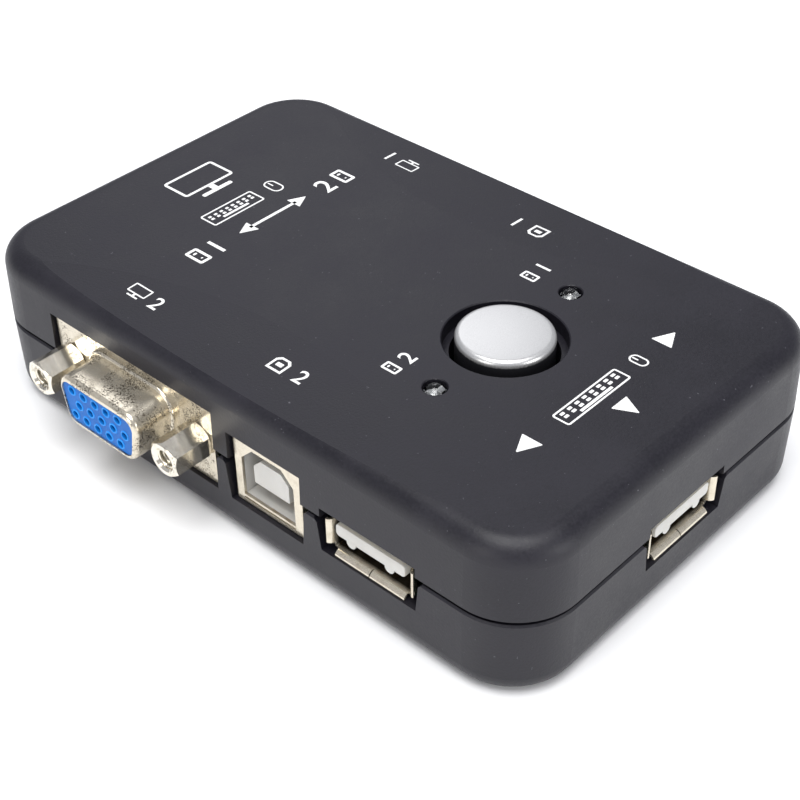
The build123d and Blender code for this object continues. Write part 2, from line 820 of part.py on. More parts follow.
with BuildPart() as button_cap:
    with BuildSketch(Plane.XY.offset(foot_bottom)):
        with Locations((0, button_y)):
            Circle(button_radius)
    extrude(amount=button_top - foot_bottom)
    fillet(button_cap.faces().sort_by(Axis.Z)[-1].edges(), button_edge_radius)
    with BuildSketch(Plane.XY.offset(foot_bottom)):
        with Locations((0, button_y)):
            Circle(button_foot_radius)
    extrude(amount=button_foot_height)
    with BuildSketch(Plane.XY.offset(foot_bottom)):
        with Locations((0, button_y)):
            Circle(button_radius - button_skin)
    extrude(amount=button_top - button_skin - foot_bottom, mode=Mode.SUBTRACT)
    with BuildSketch(Plane.XY.offset(stem_bottom)):
        with Locations((0, button_y)):
            Circle(stem_radius)
    extrude(amount=button_top - button_skin - stem_bottom)
    with BuildSketch(Plane.XY.offset(stem_bottom)):
        with Locations((0, button_y)):
            Circle(plunger_radius + plunger_fit)
    extrude(amount=plunger_in_cap, mode=Mode.SUBTRACT)
save(button_cap.part, "button_cap")

# Momentary switch on the board
well_bottom = board_top_height + switch_floor
dome_height = button_travel + dome_left
dome_top = well_bottom + dome_height
switch_base_top = board_top_height + switch_height
dome_sphere = (dome_radius**2 + dome_height**2) / (2 * dome_height)

with BuildPart() as switch_plunger:
    with BuildSketch(Plane.XY.offset(dome_top)):
        with Locations((0, button_y)):
            Circle(plunger_collar_radius)
    extrude(amount=plunger_collar_height)
    with BuildSketch(Plane.XY.offset(dome_top)):
        with Locations((0, button_y)):
            Circle(plunger_radius)
    extrude(amount=plunger_top - dome_top)
save(switch_plunger.part, "switch_plunger")

with BuildPart() as switch_base:
    with BuildSketch(Plane.XY.offset(board_top_height)):
        with Locations((0, button_y)):
            Rectangle(switch_size, switch_size)
    extrude(amount=switch_height)
    with BuildSketch(Plane.XY.offset(well_bottom)):
        with Locations((0, button_y)):
            Circle(switch_well_radius)
    extrude(amount=switch_height, mode=Mode.SUBTRACT)
save(switch_base.part, "switch_base")

with BuildPart() as switch_cover:
    with BuildSketch(Plane.XY.offset(switch_base_top)):
        with Locations((0, button_y)):
            Rectangle(switch_size, switch_size)
            Circle(plunger_radius + plunger_clearance, mode=Mode.SUBTRACT)
    extrude(amount=switch_cover_sheet)
save(switch_cover.part, "switch_cover")

with BuildPart() as switch_dome:
    with Locations((0, button_y, dome_top - dome_sphere)):
        Sphere(dome_sphere)
        Sphere(dome_sphere - dome_sheet, mode=Mode.SUBTRACT)
    split(bisect_by=Plane.XY.offset(well_bottom), keep=Keep.TOP)
save(switch_dome.part, "switch_dome")

switch_lead_x = (switch_size + lead_size) / 2
switch_lead_places = [
    (x, button_y + y) for x in (-switch_lead_x, switch_lead_x) for y in (-switch_lead_y, switch_lead_y)
]
switch_lead_top = board_top_height + switch_height / 2

with BuildPart() as switch_leads:
    for x, y in switch_lead_places:
        with Locations((x, y, (switch_lead_top + lead_end_height) / 2)):
            Box(lead_size, lead_size, switch_lead_top - lead_end_height)
save(switch_leads.part, "switch_leads")

# Lights
led_top = case_height + led_proud
led_bottom = led_top - led_length

for name, (x, y) in led_places.items():
    posts = [(x + side * led_lead_pitch / 2, y) for side in (-1, 1)]
    with BuildPart() as led_lens:
        with BuildSketch(Plane.XY.offset(led_bottom)):
            with Locations((x, y)):
                Circle(led_radius)
        extrude(amount=led_length - led_radius)
        with Locations((x, y, led_top - led_radius)):
            Sphere(led_radius)
        with BuildSketch(Plane.XY.offset(led_bottom)):
            with Locations((x, y)):
                Circle(led_rim_radius)
        extrude(amount=led_rim_height)
        with BuildSketch(Plane.XY.offset(led_bottom)):
            with Locations(*posts):
                Rectangle(lead_size, lead_size)
        extrude(amount=led_lead_depth, mode=Mode.SUBTRACT)
    save(led_lens.part, f"{name}_lens")
    with BuildPart() as led_leads_pair:
        with BuildSketch(Plane.XY.offset(lead_end_height)):
            with Locations(*posts):
                Rectangle(lead_size, lead_size)
        extrude(amount=led_bottom + led_lead_depth - lead_end_height)
    save(led_leads_pair.part, f"{name}_leads")

# Parts soldered on the board's top: place, body width along X, body length along Y, height
chip_stand_off = 0.15
chip_lead_reach = 1.1
chip_lead_width = 0.4
chip_lead_pitch = 1.27
chip_lead_height = 0.2
hub_chips = [((0, 3.0), (5.3, 10.2, 1.8), 8)]
video_chips = [((-8.5, 17.0), (3.9, 9.9, 1.5), 8), ((8.5, 17.0), (3.9, 9.9, 1.5), 8)]
select_chips = [((0, -8.5), (3.9, 5.0, 1.5), 4)]


def chips(layout):
    """Flat chips with a row of feet along each long side."""
    with BuildPart() as group:
        for (x, y), (width, length, height), feet in layout:
            with Locations((x, y, board_top_height + chip_stand_off)):
                Box(width, length, height - chip_stand_off, align=(Align.CENTER, Align.CENTER, Align.MIN))
            with Locations((x, y, board_top_height)):
                with GridLocations(0, chip_lead_pitch, 1, feet):
                    Box(
                        width + 2 * chip_lead_reach, chip_lead_width, chip_lead_height,
                        align=(Align.CENTER, Align.CENTER, Align.MIN),
                    )
    return group.part


save(chips(hub_chips), "hub_chip")
save(chips(video_chips), "video_switch_chips")
save(chips(select_chips), "select_chip")

crystal_place = (0, 12.5)
crystal_size = (10.5, 4.4, 3.4)
crystal_rim = 0.4

with BuildPart() as crystal:
    with BuildSketch(Plane.XY.offset(board_top_height)):
        with Locations(crystal_place):
            SlotOverall(crystal_size[0], crystal_size[1])
    extrude(amount=crystal_rim)
    with BuildSketch(Plane.XY.offset(board_top_height)):
        with Locations(crystal_place):
            SlotOverall(crystal_size[0] - 2 * crystal_rim, crystal_size[1] - 2 * crystal_rim)
    extrude(amount=crystal_size[2])
    fillet(crystal.faces().sort_by(Axis.Z)[-1].edges(), crystal_rim)
save(crystal.part, "crystal")

can_places = [(-10.5, 31.0), (10.5, 31.0)]
can_radius = 2.5
can_height = 7.0
can_edge = 0.4

with BuildPart() as capacitor_cans:
    with BuildSketch(Plane.XY.offset(board_top_height)):
        with Locations(*can_places):
            Circle(can_radius)
    extrude(amount=can_height)
    fillet(capacitor_cans.faces().sort_by(Axis.Z)[-2:].edges(), can_edge)
save(capacitor_cans.part, "capacitor_cans")


def small_blocks(centre, columns, rows, pitch, size):
    """A field of equal surface-mounted blocks."""
    with BuildPart() as field:
        with Locations((*centre, board_top_height)):
            with GridLocations(*pitch, columns, rows):
                Box(*size, align=(Align.CENTER, Align.CENTER, Align.MIN))
    return field.part


block_fields = {
    "resistors": ((0, 21.0), 4, 2, (2.6, 3.4), (1.25, 2.0, 0.55)),
    "ceramic_capacitors": ((0, -14.0), 6, 1, (2.6, 1.0), (1.25, 2.0, 0.9)),
    "transistors": ((0, -3.5), 3, 1, (4.6, 1.0), (2.9, 1.3, 1.0)),
}
for name, (centre, columns, rows, pitch, size) in block_fields.items():
    save(small_blocks(centre, columns, rows, pitch, size), name)

# Main board, with a hole for every lead and prong
round_leads = []
prong_slots = []
for port in vga_ports.values():
    round_leads += [from_port(port, across, leg) for across, up, leg in vga_pins]
    prong_slots += [(port, side * jack_spacing / 2, prong_out, prong_width, prong_sheet) for side in (-1, 1)]
for port in usb_b_ports.values():
    for leg in blade_b_legs.values():
        round_leads += [from_port(port, across, leg) for across in (-blade_b_x, blade_b_x)]
    for side in (-1, 1):
        across = side * (usb_b_width - usb_b_sheet) / 2
        prong_slots.append((port, across, -usb_b_prong_setback, usb_b_sheet, usb_b_prong_length))
for port in usb_a_ports.values():
    round_leads += [from_port(port, across, blade_a_leg) for across in blade_a_xs]
    for side in (-1, 1):
        across = side * (usb_a_width - usb_a_sheet) / 2
        prong_slots.append((port, across, -usb_a_prong_setback, usb_a_sheet, prong_width))
round_leads += switch_lead_places
for x, y in led_places.values():
    round_leads += [(x + side * led_lead_pitch / 2, y) for side in (-1, 1)]

notch_x = half_width - board_clearance - wall - (post_x - post_radius - board_clearance)
notch_y = half_length - board_clearance - wall - (post_y - post_radius - board_clearance)
board_width = inner_width - 2 * board_clearance
board_length = inner_length - 2 * board_clearance

with BuildPart() as main_board:
    with BuildSketch(Plane.XY.offset(board_bottom_height)):
        Rectangle(board_width, board_length)
        for x in (-board_width / 2, board_width / 2):
            for y in (-board_length / 2, board_length / 2):
                with Locations((x, y)):
                    Rectangle(2 * notch_x, 2 * notch_y, mode=Mode.SUBTRACT)
        with Locations(*round_leads):
            Circle(hole_reach, mode=Mode.SUBTRACT)
        with Locations(*board_screw_places):
            Circle(board_screw_radius + screw_clearance, mode=Mode.SUBTRACT)
    extrude(amount=board_thickness)
    for port, across, out, slot_width, slot_depth in prong_slots:
        slot_centre = port.from_local_coords((across, 0, out))
        slot_plane = Plane(origin=slot_centre, x_dir=port.x_dir, z_dir=(0, 0, 1))
        with BuildSketch(slot_plane):
            Rectangle(slot_width + 2 * lead_clearance, slot_depth + 2 * lead_clearance)
        extrude(amount=case_height, both=True, mode=Mode.SUBTRACT)
save(main_board.part, "main_board")
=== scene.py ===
import json
import math

import bmesh
import bpy
from mathutils import Matrix, Vector
from mathutils.bvhtree import BVHTree

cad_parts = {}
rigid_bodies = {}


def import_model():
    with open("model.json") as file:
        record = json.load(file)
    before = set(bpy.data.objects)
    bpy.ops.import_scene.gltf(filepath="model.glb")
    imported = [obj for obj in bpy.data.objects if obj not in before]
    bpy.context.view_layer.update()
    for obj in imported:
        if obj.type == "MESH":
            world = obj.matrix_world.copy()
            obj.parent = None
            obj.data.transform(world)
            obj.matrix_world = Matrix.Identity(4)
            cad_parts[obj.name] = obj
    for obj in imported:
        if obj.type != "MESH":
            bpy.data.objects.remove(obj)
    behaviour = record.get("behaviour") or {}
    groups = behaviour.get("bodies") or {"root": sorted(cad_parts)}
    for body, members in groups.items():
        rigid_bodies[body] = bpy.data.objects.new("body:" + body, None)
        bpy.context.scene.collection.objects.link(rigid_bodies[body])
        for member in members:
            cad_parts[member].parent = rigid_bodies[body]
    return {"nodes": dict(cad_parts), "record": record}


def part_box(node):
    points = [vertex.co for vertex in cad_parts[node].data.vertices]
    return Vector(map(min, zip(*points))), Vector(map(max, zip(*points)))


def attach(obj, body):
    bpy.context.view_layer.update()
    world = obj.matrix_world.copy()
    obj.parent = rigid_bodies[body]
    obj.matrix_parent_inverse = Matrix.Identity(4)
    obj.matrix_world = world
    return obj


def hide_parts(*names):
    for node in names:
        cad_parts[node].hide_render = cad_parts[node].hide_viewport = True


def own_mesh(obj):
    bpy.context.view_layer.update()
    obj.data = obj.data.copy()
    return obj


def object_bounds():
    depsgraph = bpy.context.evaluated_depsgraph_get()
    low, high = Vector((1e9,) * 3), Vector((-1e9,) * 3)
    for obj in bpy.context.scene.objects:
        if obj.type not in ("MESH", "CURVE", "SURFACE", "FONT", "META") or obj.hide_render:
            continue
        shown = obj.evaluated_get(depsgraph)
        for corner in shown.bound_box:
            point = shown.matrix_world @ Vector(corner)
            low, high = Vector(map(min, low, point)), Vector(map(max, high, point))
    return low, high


# The looks of a two-computer desktop switch box: case, sockets, lights, button and printed marks
for leftover in list(bpy.data.objects):
    bpy.data.objects.remove(leftover)
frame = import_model()
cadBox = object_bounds()
nodes = frame["nodes"]
mounts = {mount["name"]: mount for mount in frame["record"]["mounts"]}
mm = 0.001  # the script's own sizes are in millimetres
up = Vector((0, 0, 1))
caseLow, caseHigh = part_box("lower_shell")[0] / mm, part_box("upper_shell")[1] / mm
print("frame:", len(nodes), "nodes")


# Nodes for materials

def startMaterial(name, color, roughness, metallic=0.0):
    material = bpy.data.materials.new(name)
    material.use_nodes = True
    tree = material.node_tree
    shader = tree.nodes["Principled BSDF"]
    shader.inputs["Base Color"].default_value = (*color, 1)
    shader.inputs["Roughness"].default_value = roughness
    shader.inputs["Metallic"].default_value = metallic
    return material, tree, shader


def addNode(tree, kind, inputs, **settings):
    node = tree.nodes.new(kind)
    for name, value in settings.items():
        setattr(node, name, value)
    for name, value in inputs.items():
        if isinstance(value, bpy.types.NodeSocket):
            tree.links.new(value, node.inputs[name])
        else:
            node.inputs[name].default_value = value
    return node


def objectPoint(tree, stretch=(1, 1, 1)):
    # object coordinates in millimetres, stretched where a finish runs one way
    coords = addNode(tree, "ShaderNodeTexCoord", {}).outputs["Object"]
    scale = [side / mm for side in stretch]
    return addNode(tree, "ShaderNodeMapping", {"Vector": coords, "Scale": scale}).outputs["Vector"]


def noise(tree, point, size, detail=3, roughness=0.55):
    # clouds with grains about this many millimetres across
    inputs = {"Vector": point, "Scale": 1 / size, "Detail": detail, "Roughness": roughness}
    return addNode(tree, "ShaderNodeTexNoise", inputs).outputs["Fac"]


def spread(tree, value, low, high, start=0.0, end=1.0):
    inputs = {"Value": value, "From Min": low, "From Max": high, "To Min": start, "To Max": end}
    return addNode(tree, "ShaderNodeMapRange", inputs).outputs["Result"]


def combine(tree, operation, first, second):
    return addNode(tree, "ShaderNodeMath", {0: first, 1: second}, operation=operation).outputs[0]


def blendColors(tree, factor, first, second):
    # each colour is a socket or a plain triple
    ends = [v if isinstance(v, bpy.types.NodeSocket) else (*v, 1) for v in (first, second)]
    inputs = {0: factor, 6: ends[0], 7: ends[1]}
    return addNode(tree, "ShaderNodeMix", inputs, data_type="RGBA").outputs[2]


def addBump(tree, shader, height, depth, strength):
    inputs = {"Height": height, "Distance": depth * mm, "Strength": strength}
    normal = addNode(tree, "ShaderNodeBump", inputs).outputs["Normal"]
    tree.links.new(normal, shader.inputs["Normal"])


def addGloss(tree, shader, value, low, high, roughness):
    gloss = spread(tree, value, low, high, *roughness)
    tree.links.new(gloss, shader.inputs["Roughness"])


def addTones(tree, shader, share, first, second):
    tone = blendColors(tree, share, first, second)
    tree.links.new(tone, shader.inputs["Base Color"])


# Finishes

casePlastic = {
    "color": (0.0078, 0.0072, 0.0112), "worn": (0.0135, 0.0126, 0.0182), "roughness": (0.36, 0.52),
    "grain": 0.34, "grainDepth": 0.03, "clouds": 9.0, "specks": 0.7, "speckColor": (0.16, 0.16, 0.18),
    "speckCut": (0.72, 0.77), "speckShare": 0.5, "specular": 0.35, "bump": 0.8,
}


def makeCasePlastic(settings):
    # moulded plastic with a fine spark-eroded grain, faint clouds and a few dust specks
    material, tree, shader = startMaterial("casePlastic", settings["color"], 0.45)
    point = objectPoint(tree)
    clouds = noise(tree, point, settings["clouds"], 4)
    grain = noise(tree, point, settings["grain"], 3, 0.65)
    specks = spread(tree, noise(tree, point, settings["specks"], 2, 0.9), *settings["speckCut"])
    halves = [combine(tree, "MULTIPLY", part, 0.5) for part in (clouds, grain)]
    mottle = spread(tree, combine(tree, "ADD", *halves), 0.4, 0.6)
    tone = blendColors(tree, mottle, settings["color"], settings["worn"])
    specks = combine(tree, "MULTIPLY", specks, settings["speckShare"])
    tone = blendColors(tree, specks, tone, settings["speckColor"])
    tree.links.new(tone, shader.inputs["Base Color"])
    addGloss(tree, shader, combine(tree, "ADD", clouds, grain), 0.7, 1.3, settings["roughness"])
    shader.inputs["Specular IOR Level"].default_value = settings["specular"]
    addBump(tree, shader, grain, settings["grainDepth"], settings["bump"])
    return material


nickelPlate = {
    "color": (0.72, 0.66, 0.54), "shade": (0.55, 0.48, 0.37), "roughness": (0.2, 0.36), "metallic": 0.8,
    "ripple": 2.2, "rippleDepth": 0.045, "pits": 0.2, "pitAndShadeColor": (0.05, 0.038, 0.026),
    "pitCut": (0.52, 0.56), "patchCut": (0.48, 0.56), "pitStrength": 0.85, "stainCut": (0.48, 0.85),
    "shadeInset": (1.35, 1.75),  # how far inside the case the painted shade on the plating starts, and where it is full
}
brightNickel = nickelPlate | {
    "color": (0.84, 0.79, 0.68), "shade": (0.56, 0.5, 0.4), "roughness": (0.13, 0.26), "metallic": 0.92,
    "ripple": 2.4, "rippleDepth": 0.04, "pits": 0.25,
}


def paintedCaseShade(tree, point, shallow, deep):
    # 0 at the walls, 1 from the deep inset on: how much painted shade darkens the plating inside the case
    axes = addNode(tree, "ShaderNodeSeparateXYZ", {"Vector": point}).outputs
    share = 1.0
    for axis, reach in (("X", caseHigh.x), ("Y", caseHigh.y)):
        away = combine(tree, "ABSOLUTE", axes[axis], 0.0)
        share = combine(tree, "MULTIPLY", share, spread(tree, away, reach - deep, reach - shallow, 1.0, 0.0))
    return share


def makeNickelPlate(settings, name="nickelPlate", pitShare=1.0):
    # plated metal: soft ripples from drawing, warm stains, clusters of fine dark pits, and painted shade
    # where it sits inside the case walls
    material, tree, shader = startMaterial(name, settings["color"], 0.24, settings["metallic"])
    point = objectPoint(tree)
    ripple = noise(tree, point, settings["ripple"], 2, 0.4)
    stain = noise(tree, point, settings["ripple"] * 0.6, 4, 0.6)
    pits = spread(tree, noise(tree, point, settings["pits"], 1, 0.5), *settings["pitCut"])
    patches = noise(tree, point, settings["ripple"] * 1.5, 3, 0.6)
    patches = spread(tree, patches, *settings["patchCut"])
    pitted = combine(tree, "MULTIPLY", pits, patches)
    pitted = combine(tree, "MULTIPLY", pitted, settings["pitStrength"] * pitShare)
    warm = spread(tree, stain, *settings["stainCut"])
    tone = blendColors(tree, warm, settings["color"], settings["shade"])
    # first the dark pits, then painted shade on plating that sits inside the case walls
    for share in (pitted, paintedCaseShade(tree, point, *settings["shadeInset"])):
        tone = blendColors(tree, share, tone, settings["pitAndShadeColor"])
    tree.links.new(tone, shader.inputs["Base Color"])
    addGloss(tree, shader, combine(tree, "ADD", stain, pitted), 0.4, 1.3, settings["roughness"])
    addBump(tree, shader, ripple, settings["rippleDepth"], 0.5)
    return material


def makePlastic(name, color, shade, roughness, grainSize, grainDepth, specular=0.5, through=0.0):
    # satin moulding with faint flow marks
    material, tree, shader = startMaterial(name, color, roughness)
    point = objectPoint(tree)
    flow = noise(tree, objectPoint(tree, (1, 1, 0.4)), 3.0, 3)
    grain = noise(tree, point, grainSize, 3)
    addTones(tree, shader, spread(tree, flow, 0.35, 0.7), color, shade)
    addGloss(tree, shader, grain, 0.3, 0.7, (roughness - 0.06, roughness + 0.08))
    shader.inputs["Subsurface Weight"].default_value = through
    shader.inputs["Subsurface Radius"].default_value = (mm, 0.8 * mm, 0.6 * mm)
    shader.inputs["Specular IOR Level"].default_value = specular
    addBump(tree, shader, grain, grainDepth, 0.6)
    return material


def makeMetal(name, color, shade, roughness, brush=(1, 1, 1)):
    # plain metal with fine marks, brushed along the axis that has the small stretch
    material, tree, shader = startMaterial(name, color, roughness, 1.0)
    marks = noise(tree, objectPoint(tree, brush), 0.12, 4, 0.6)
    stain = noise(tree, objectPoint(tree), 1.6, 3)
    addTones(tree, shader, spread(tree, stain, 0.4, 0.7), color, shade)
    addGloss(tree, shader, marks, 0.3, 0.7, (roughness - 0.05, roughness + 0.12))
    addBump(tree, shader, marks, 0.008, 0.5)
    return material


silverButton = {
    "coat": (0.56, 0.56, 0.555), "flake": (0.68, 0.68, 0.675), "darkReflection": (0.012, 0.012, 0.014),
    "roughness": (0.3, 0.42), "flakeSize": 0.09, "reflectionDrop": 0.85, "fade": 0.45, "metallic": 0.78,
    "edgeNoise": 0.3, "edgeNoiseReach": 0.5,
}


def makeSilverButton(settings, topHeight):
    # silver paint on the top and its rounded edge; down the side it fades into a painted dark reflection of
    # its dark surroundings
    material, tree, shader = startMaterial("silverButton", settings["coat"], 0.35)
    point = objectPoint(tree)
    height = addNode(tree, "ShaderNodeSeparateXYZ", {"Vector": point}).outputs["Z"]
    edgeNoise = combine(tree, "MULTIPLY", noise(tree, point, settings["edgeNoise"], 4, 0.7), settings["edgeNoiseReach"])
    level = combine(tree, "ADD", height, edgeNoise)
    # the silver ends this far below the top, with a ragged edge; further down the colour is a painted dark
    # reflection
    edge = topHeight - settings["reflectionDrop"]
    silverShare = spread(tree, level, edge, edge + settings["fade"])
    flakes = spread(tree, noise(tree, point, settings["flakeSize"], 2), 0.4, 0.7)
    silver = blendColors(tree, flakes, settings["coat"], settings["flake"])
    tone = blendColors(tree, silverShare, settings["darkReflection"], silver)
    tree.links.new(tone, shader.inputs["Base Color"])
    shine = combine(tree, "MULTIPLY", silverShare, settings["metallic"])
    tree.links.new(shine, shader.inputs["Metallic"])
    addGloss(tree, shader, flakes, 0, 1, settings["roughness"])
    addBump(tree, shader, noise(tree, point, 0.4, 3), 0.004, 0.5)
    return material


def makeLens(name):
    # clear cast resin with faint flow lines
    material, tree, shader = startMaterial(name, (0.93, 0.95, 0.95), 0.03)
    shader.inputs["Transmission Weight"].default_value = 1.0
    shader.inputs["IOR"].default_value = 1.52
    addBump(tree, shader, noise(tree, objectPoint(tree), 0.9, 3), 0.012, 0.5)
    return material


def makeBoard(name):
    # green solder mask over faint copper tracks, with a woven glass texture
    material, tree, shader = startMaterial(name, (0.015, 0.12, 0.05), 0.3)
    point = objectPoint(tree)
    weave = addNode(tree, "ShaderNodeTexBrick", {"Vector": point, "Scale": 1.6}).outputs["Fac"]
    inputs = {"Vector": point, "Scale": 0.35}
    cells = addNode(tree, "ShaderNodeTexVoronoi", inputs, distance="CHEBYCHEV").outputs["Distance"]
    tracks = spread(tree, combine(tree, "PINGPONG", cells, 0.11), 0.045, 0.07)
    addTones(tree, shader, tracks, (0.012, 0.1, 0.042), (0.03, 0.2, 0.085))
    shader.inputs["Coat Weight"].default_value = 0.4
    addBump(tree, shader, combine(tree, "ADD", tracks, combine(tree, "MULTIPLY", weave, 0.2)), 0.03, 0.6)
    return material


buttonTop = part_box("button_cap")[1].z / mm
finishes = {
    "case_plastic": makeCasePlastic(casePlastic),
    "nickel_plate": makeNickelPlate(nickelPlate),
    "blue_plastic": makePlastic(
        "bluePlastic", (0.001, 0.108, 0.42), (0.003, 0.135, 0.5), 0.4, 0.25, 0.006, 0.2),
    "white_plastic": makePlastic(
        "whitePlastic", (0.58, 0.57, 0.54), (0.53, 0.52, 0.485), 0.42, 0.3, 0.006, 0.5, 0.15),
    "contact_gold": makeMetal("contactGold", (0.74, 0.52, 0.24), (0.5, 0.33, 0.15), 0.26),
    "tin_plate": makeMetal("tinPlate", (0.6, 0.6, 0.59), (0.44, 0.44, 0.43), 0.3),
    "screw_steel": makeMetal("screwSteel", (0.4, 0.4, 0.4), (0.26, 0.26, 0.26), 0.28, (1, 1, 0.1)),
    "can_aluminium": makeMetal("canAluminium", (0.7, 0.7, 0.71), (0.6, 0.6, 0.6), 0.25, (1, 1, 0.1)),
    "board_laminate": makeBoard("boardLaminate"),
    "clear_lens": makeLens("clearLens"),
    "silver_button": makeSilverButton(silverButton, buttonTop),
    "chip_black": makePlastic("chipBlack", (0.018, 0.018, 0.02), (0.03, 0.03, 0.032), 0.5, 0.12, 0.01),
    "plunger_plastic": makePlastic("plungerPlastic", (0.02, 0.02, 0.02), (0.03, 0.03, 0.03), 0.4, 0.2, 0.006),
    "resistor_black": makePlastic("resistorBlack", (0.02, 0.02, 0.02), (0.04, 0.04, 0.04), 0.3, 0.2, 0.006),
    "ceramic_tan": makePlastic("ceramicTan", (0.36, 0.25, 0.14), (0.42, 0.3, 0.18), 0.45, 0.15, 0.01),
}
jackNickel = makeNickelPlate(brightNickel, "jackNickel", 0.55)
sheetNickel = makeNickelPlate(nickelPlate, "sheetNickel", 0.12)
# a lighter copy of the insulator blue for the contact-hole rims: painted highlight on the lips
rimHighlightBlue = makePlastic("rimHighlightBlue", (0.01, 0.24, 0.72), (0.01, 0.28, 0.8), 0.4, 0.25, 0.006, 0.3)
printWhite = makePlastic("printWhite", (0.82, 0.82, 0.81), (0.72, 0.72, 0.71), 0.5, 0.12, 0.006)
for part in frame["record"]["subparts"]:
    materials, slot = nodes[part["node"]].data.materials, part["material_slot"]
    materials.clear()
    clean = part["node"].startswith("usb") and slot == "nickel_plate"
    materials.append(sheetNickel if clean else finishes[slot])
print("finishes:", len(finishes))


# Mesh building, in millimetres

def meshOf(shape, name, sharp=32):
    # a bmesh in millimetres as a mesh in metres, with its edges sharp from this many degrees on
    shape.transform(Matrix.Scale(mm, 4))
    for face in shape.faces:
        face.smooth = True
    for edge in shape.edges:
        edge.smooth = edge.calc_face_angle(0) < math.radians(sharp)
    mesh = bpy.data.meshes.new(name)
    shape.to_mesh(mesh)
    shape.free()
    return mesh


def addPiece(name, shape, slotName, body="case", replaced=(), material=None):
    mesh = meshOf(shape, name)
    mesh.materials.append(material or finishes[slotName])
    placePiece(name, mesh, body, replaced)


def addObject(name, data):
    added = bpy.data.objects.new(name, data)
    bpy.context.scene.collection.objects.link(added)
    return added


def placePiece(name, mesh, body, replaced):
    piece = addObject(name, mesh)
    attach(piece, body)
    if replaced:
        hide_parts(*replaced)
    return piece


def faceOut(shape):
    bmesh.ops.recalc_face_normals(shape, faces=shape.faces[:])


def joinRings(shape, rings, capped=False):
    # rows of points, each the same count, skinned one to the next
    rows = [[shape.verts.new(point) for point in ring] for ring in rings]
    for low, high in zip(rows, rows[1:]):
        for i in range(len(low)):
            j = (i + 1) % len(low)
            shape.faces.new((low[i], low[j], high[j], high[i]))
    if capped:
        shape.faces.new(reversed(rows[0]))
        shape.faces.new(rows[-1])


def turnProfile(shape, profile, steps, centre=(0, 0)):
    # a closed or pole-to-pole outline of (radius, height) points turned about the vertical
    rows = []
    for radius, height in profile:
        if radius < 1e-6:
            rows.append([shape.verts.new((*centre, height))] * steps)
            continue
        angles = [2 * math.pi * i / steps for i in range(steps)]
        row = [(centre[0] + radius * math.cos(a), centre[1] + radius * math.sin(a), height) for a in angles]
        rows.append([shape.verts.new(point) for point in row])
    for low, high in zip(rows, rows[1:]):
        for i in range(steps):
            j = (i + 1) % steps
            corners = [low[i], low[j], high[j], high[i]]
            shape.faces.new([v for k, v in enumerate(corners) if v not in corners[:k]])


def arc(centre, radius, start, end, steps):
    angles = [math.radians(start + (end - start) * i / steps) for i in range(steps + 1)]
    return [(centre[0] + radius * math.cos(a), centre[1] + radius * math.sin(a)) for a in angles]


def roundCorners(points, radius, steps=6):
    # an outline with each corner rounded to one radius
    outline = []
    for i, corner in enumerate(points):
        here = Vector(corner)
        before = (Vector(points[i - 1]) - here).normalized()
        after = (Vector(points[(i + 1) % len(points)]) - here).normalized()
        half = before.angle(after) / 2
        centre = here + (before + after).normalized() * radius / math.sin(half)
        start = here + before * radius / math.tan(half) - centre
        sweep = start.angle_signed(here + after * radius / math.tan(half) - centre)
        for k in range(steps + 1):
            turn = Matrix.Rotation(-sweep * k / steps, 2)
            outline.append(tuple(centre + turn @ start))
    return outline


def rectangle(width, height):
    right, top = width / 2, height / 2
    return [(right, top), (-right, top), (-right, -top), (right, -top)]


def socketFrame(mountName, back=0.0):
    # X to the right and Y up as the socket's mouth is seen, Z out of the case, in millimetres
    mount = mounts[mountName]
    out = Vector(mount["axis"])
    turn = Matrix((up.cross(out), up, out)).transposed().to_4x4()
    return Matrix.Translation(Vector(mount["pos_m"]) / mm - out * back) @ turn


# Geometry nodes

def startTree(name, sizes):
    # a tree with named size inputs; a material input comes with every tree
    tree = bpy.data.node_groups.new(name, "GeometryNodeTree")
    tree.interface.new_socket("Geometry", in_out="OUTPUT", socket_type="NodeSocketGeometry")
    tree.interface.new_socket("Geometry", in_out="INPUT", socket_type="NodeSocketGeometry")
    for socketName, kind in sizes.items():
        tree.interface.new_socket(socketName, in_out="INPUT", socket_type="NodeSocket" + kind)
    tree.interface.new_socket("Material", in_out="INPUT", socket_type="NodeSocketMaterial")
    source = tree.nodes.new("NodeGroupInput").outputs
    return tree, source


def endTree(tree, source, geometry):
    real = addNode(tree, "GeometryNodeRealizeInstances", {"Geometry": geometry}).outputs["Geometry"]
    inputs = {"Geometry": real, "Material": source["Material"]}
    painted = addNode(tree, "GeometryNodeSetMaterial", inputs).outputs["Geometry"]
    addNode(tree, "NodeGroupOutput", {"Geometry": painted})


def makeCopiesTree():
    # one copy of the template on each point, turned by the point's "turn" attribute
    tree, source = startTree("copiesOnPoints", {"Template": "Object", "Size": "Float"})
    shape = addNode(tree, "GeometryNodeObjectInfo", {"Object": source["Template"]}).outputs["Geometry"]
    turn = addNode(tree, "GeometryNodeInputNamedAttribute", {"Name": "turn"}, data_type="FLOAT_VECTOR")
    turn = addNode(tree, "FunctionNodeEulerToRotation", {"Euler": turn.outputs["Attribute"]})
    inputs = {
        "Points": source["Geometry"], "Instance": shape, "Rotation": turn.outputs["Rotation"],
        "Scale": source["Size"],
    }
    copies = addNode(tree, "GeometryNodeInstanceOnPoints", inputs).outputs["Instances"]
    endTree(tree, source, copies)
    return tree


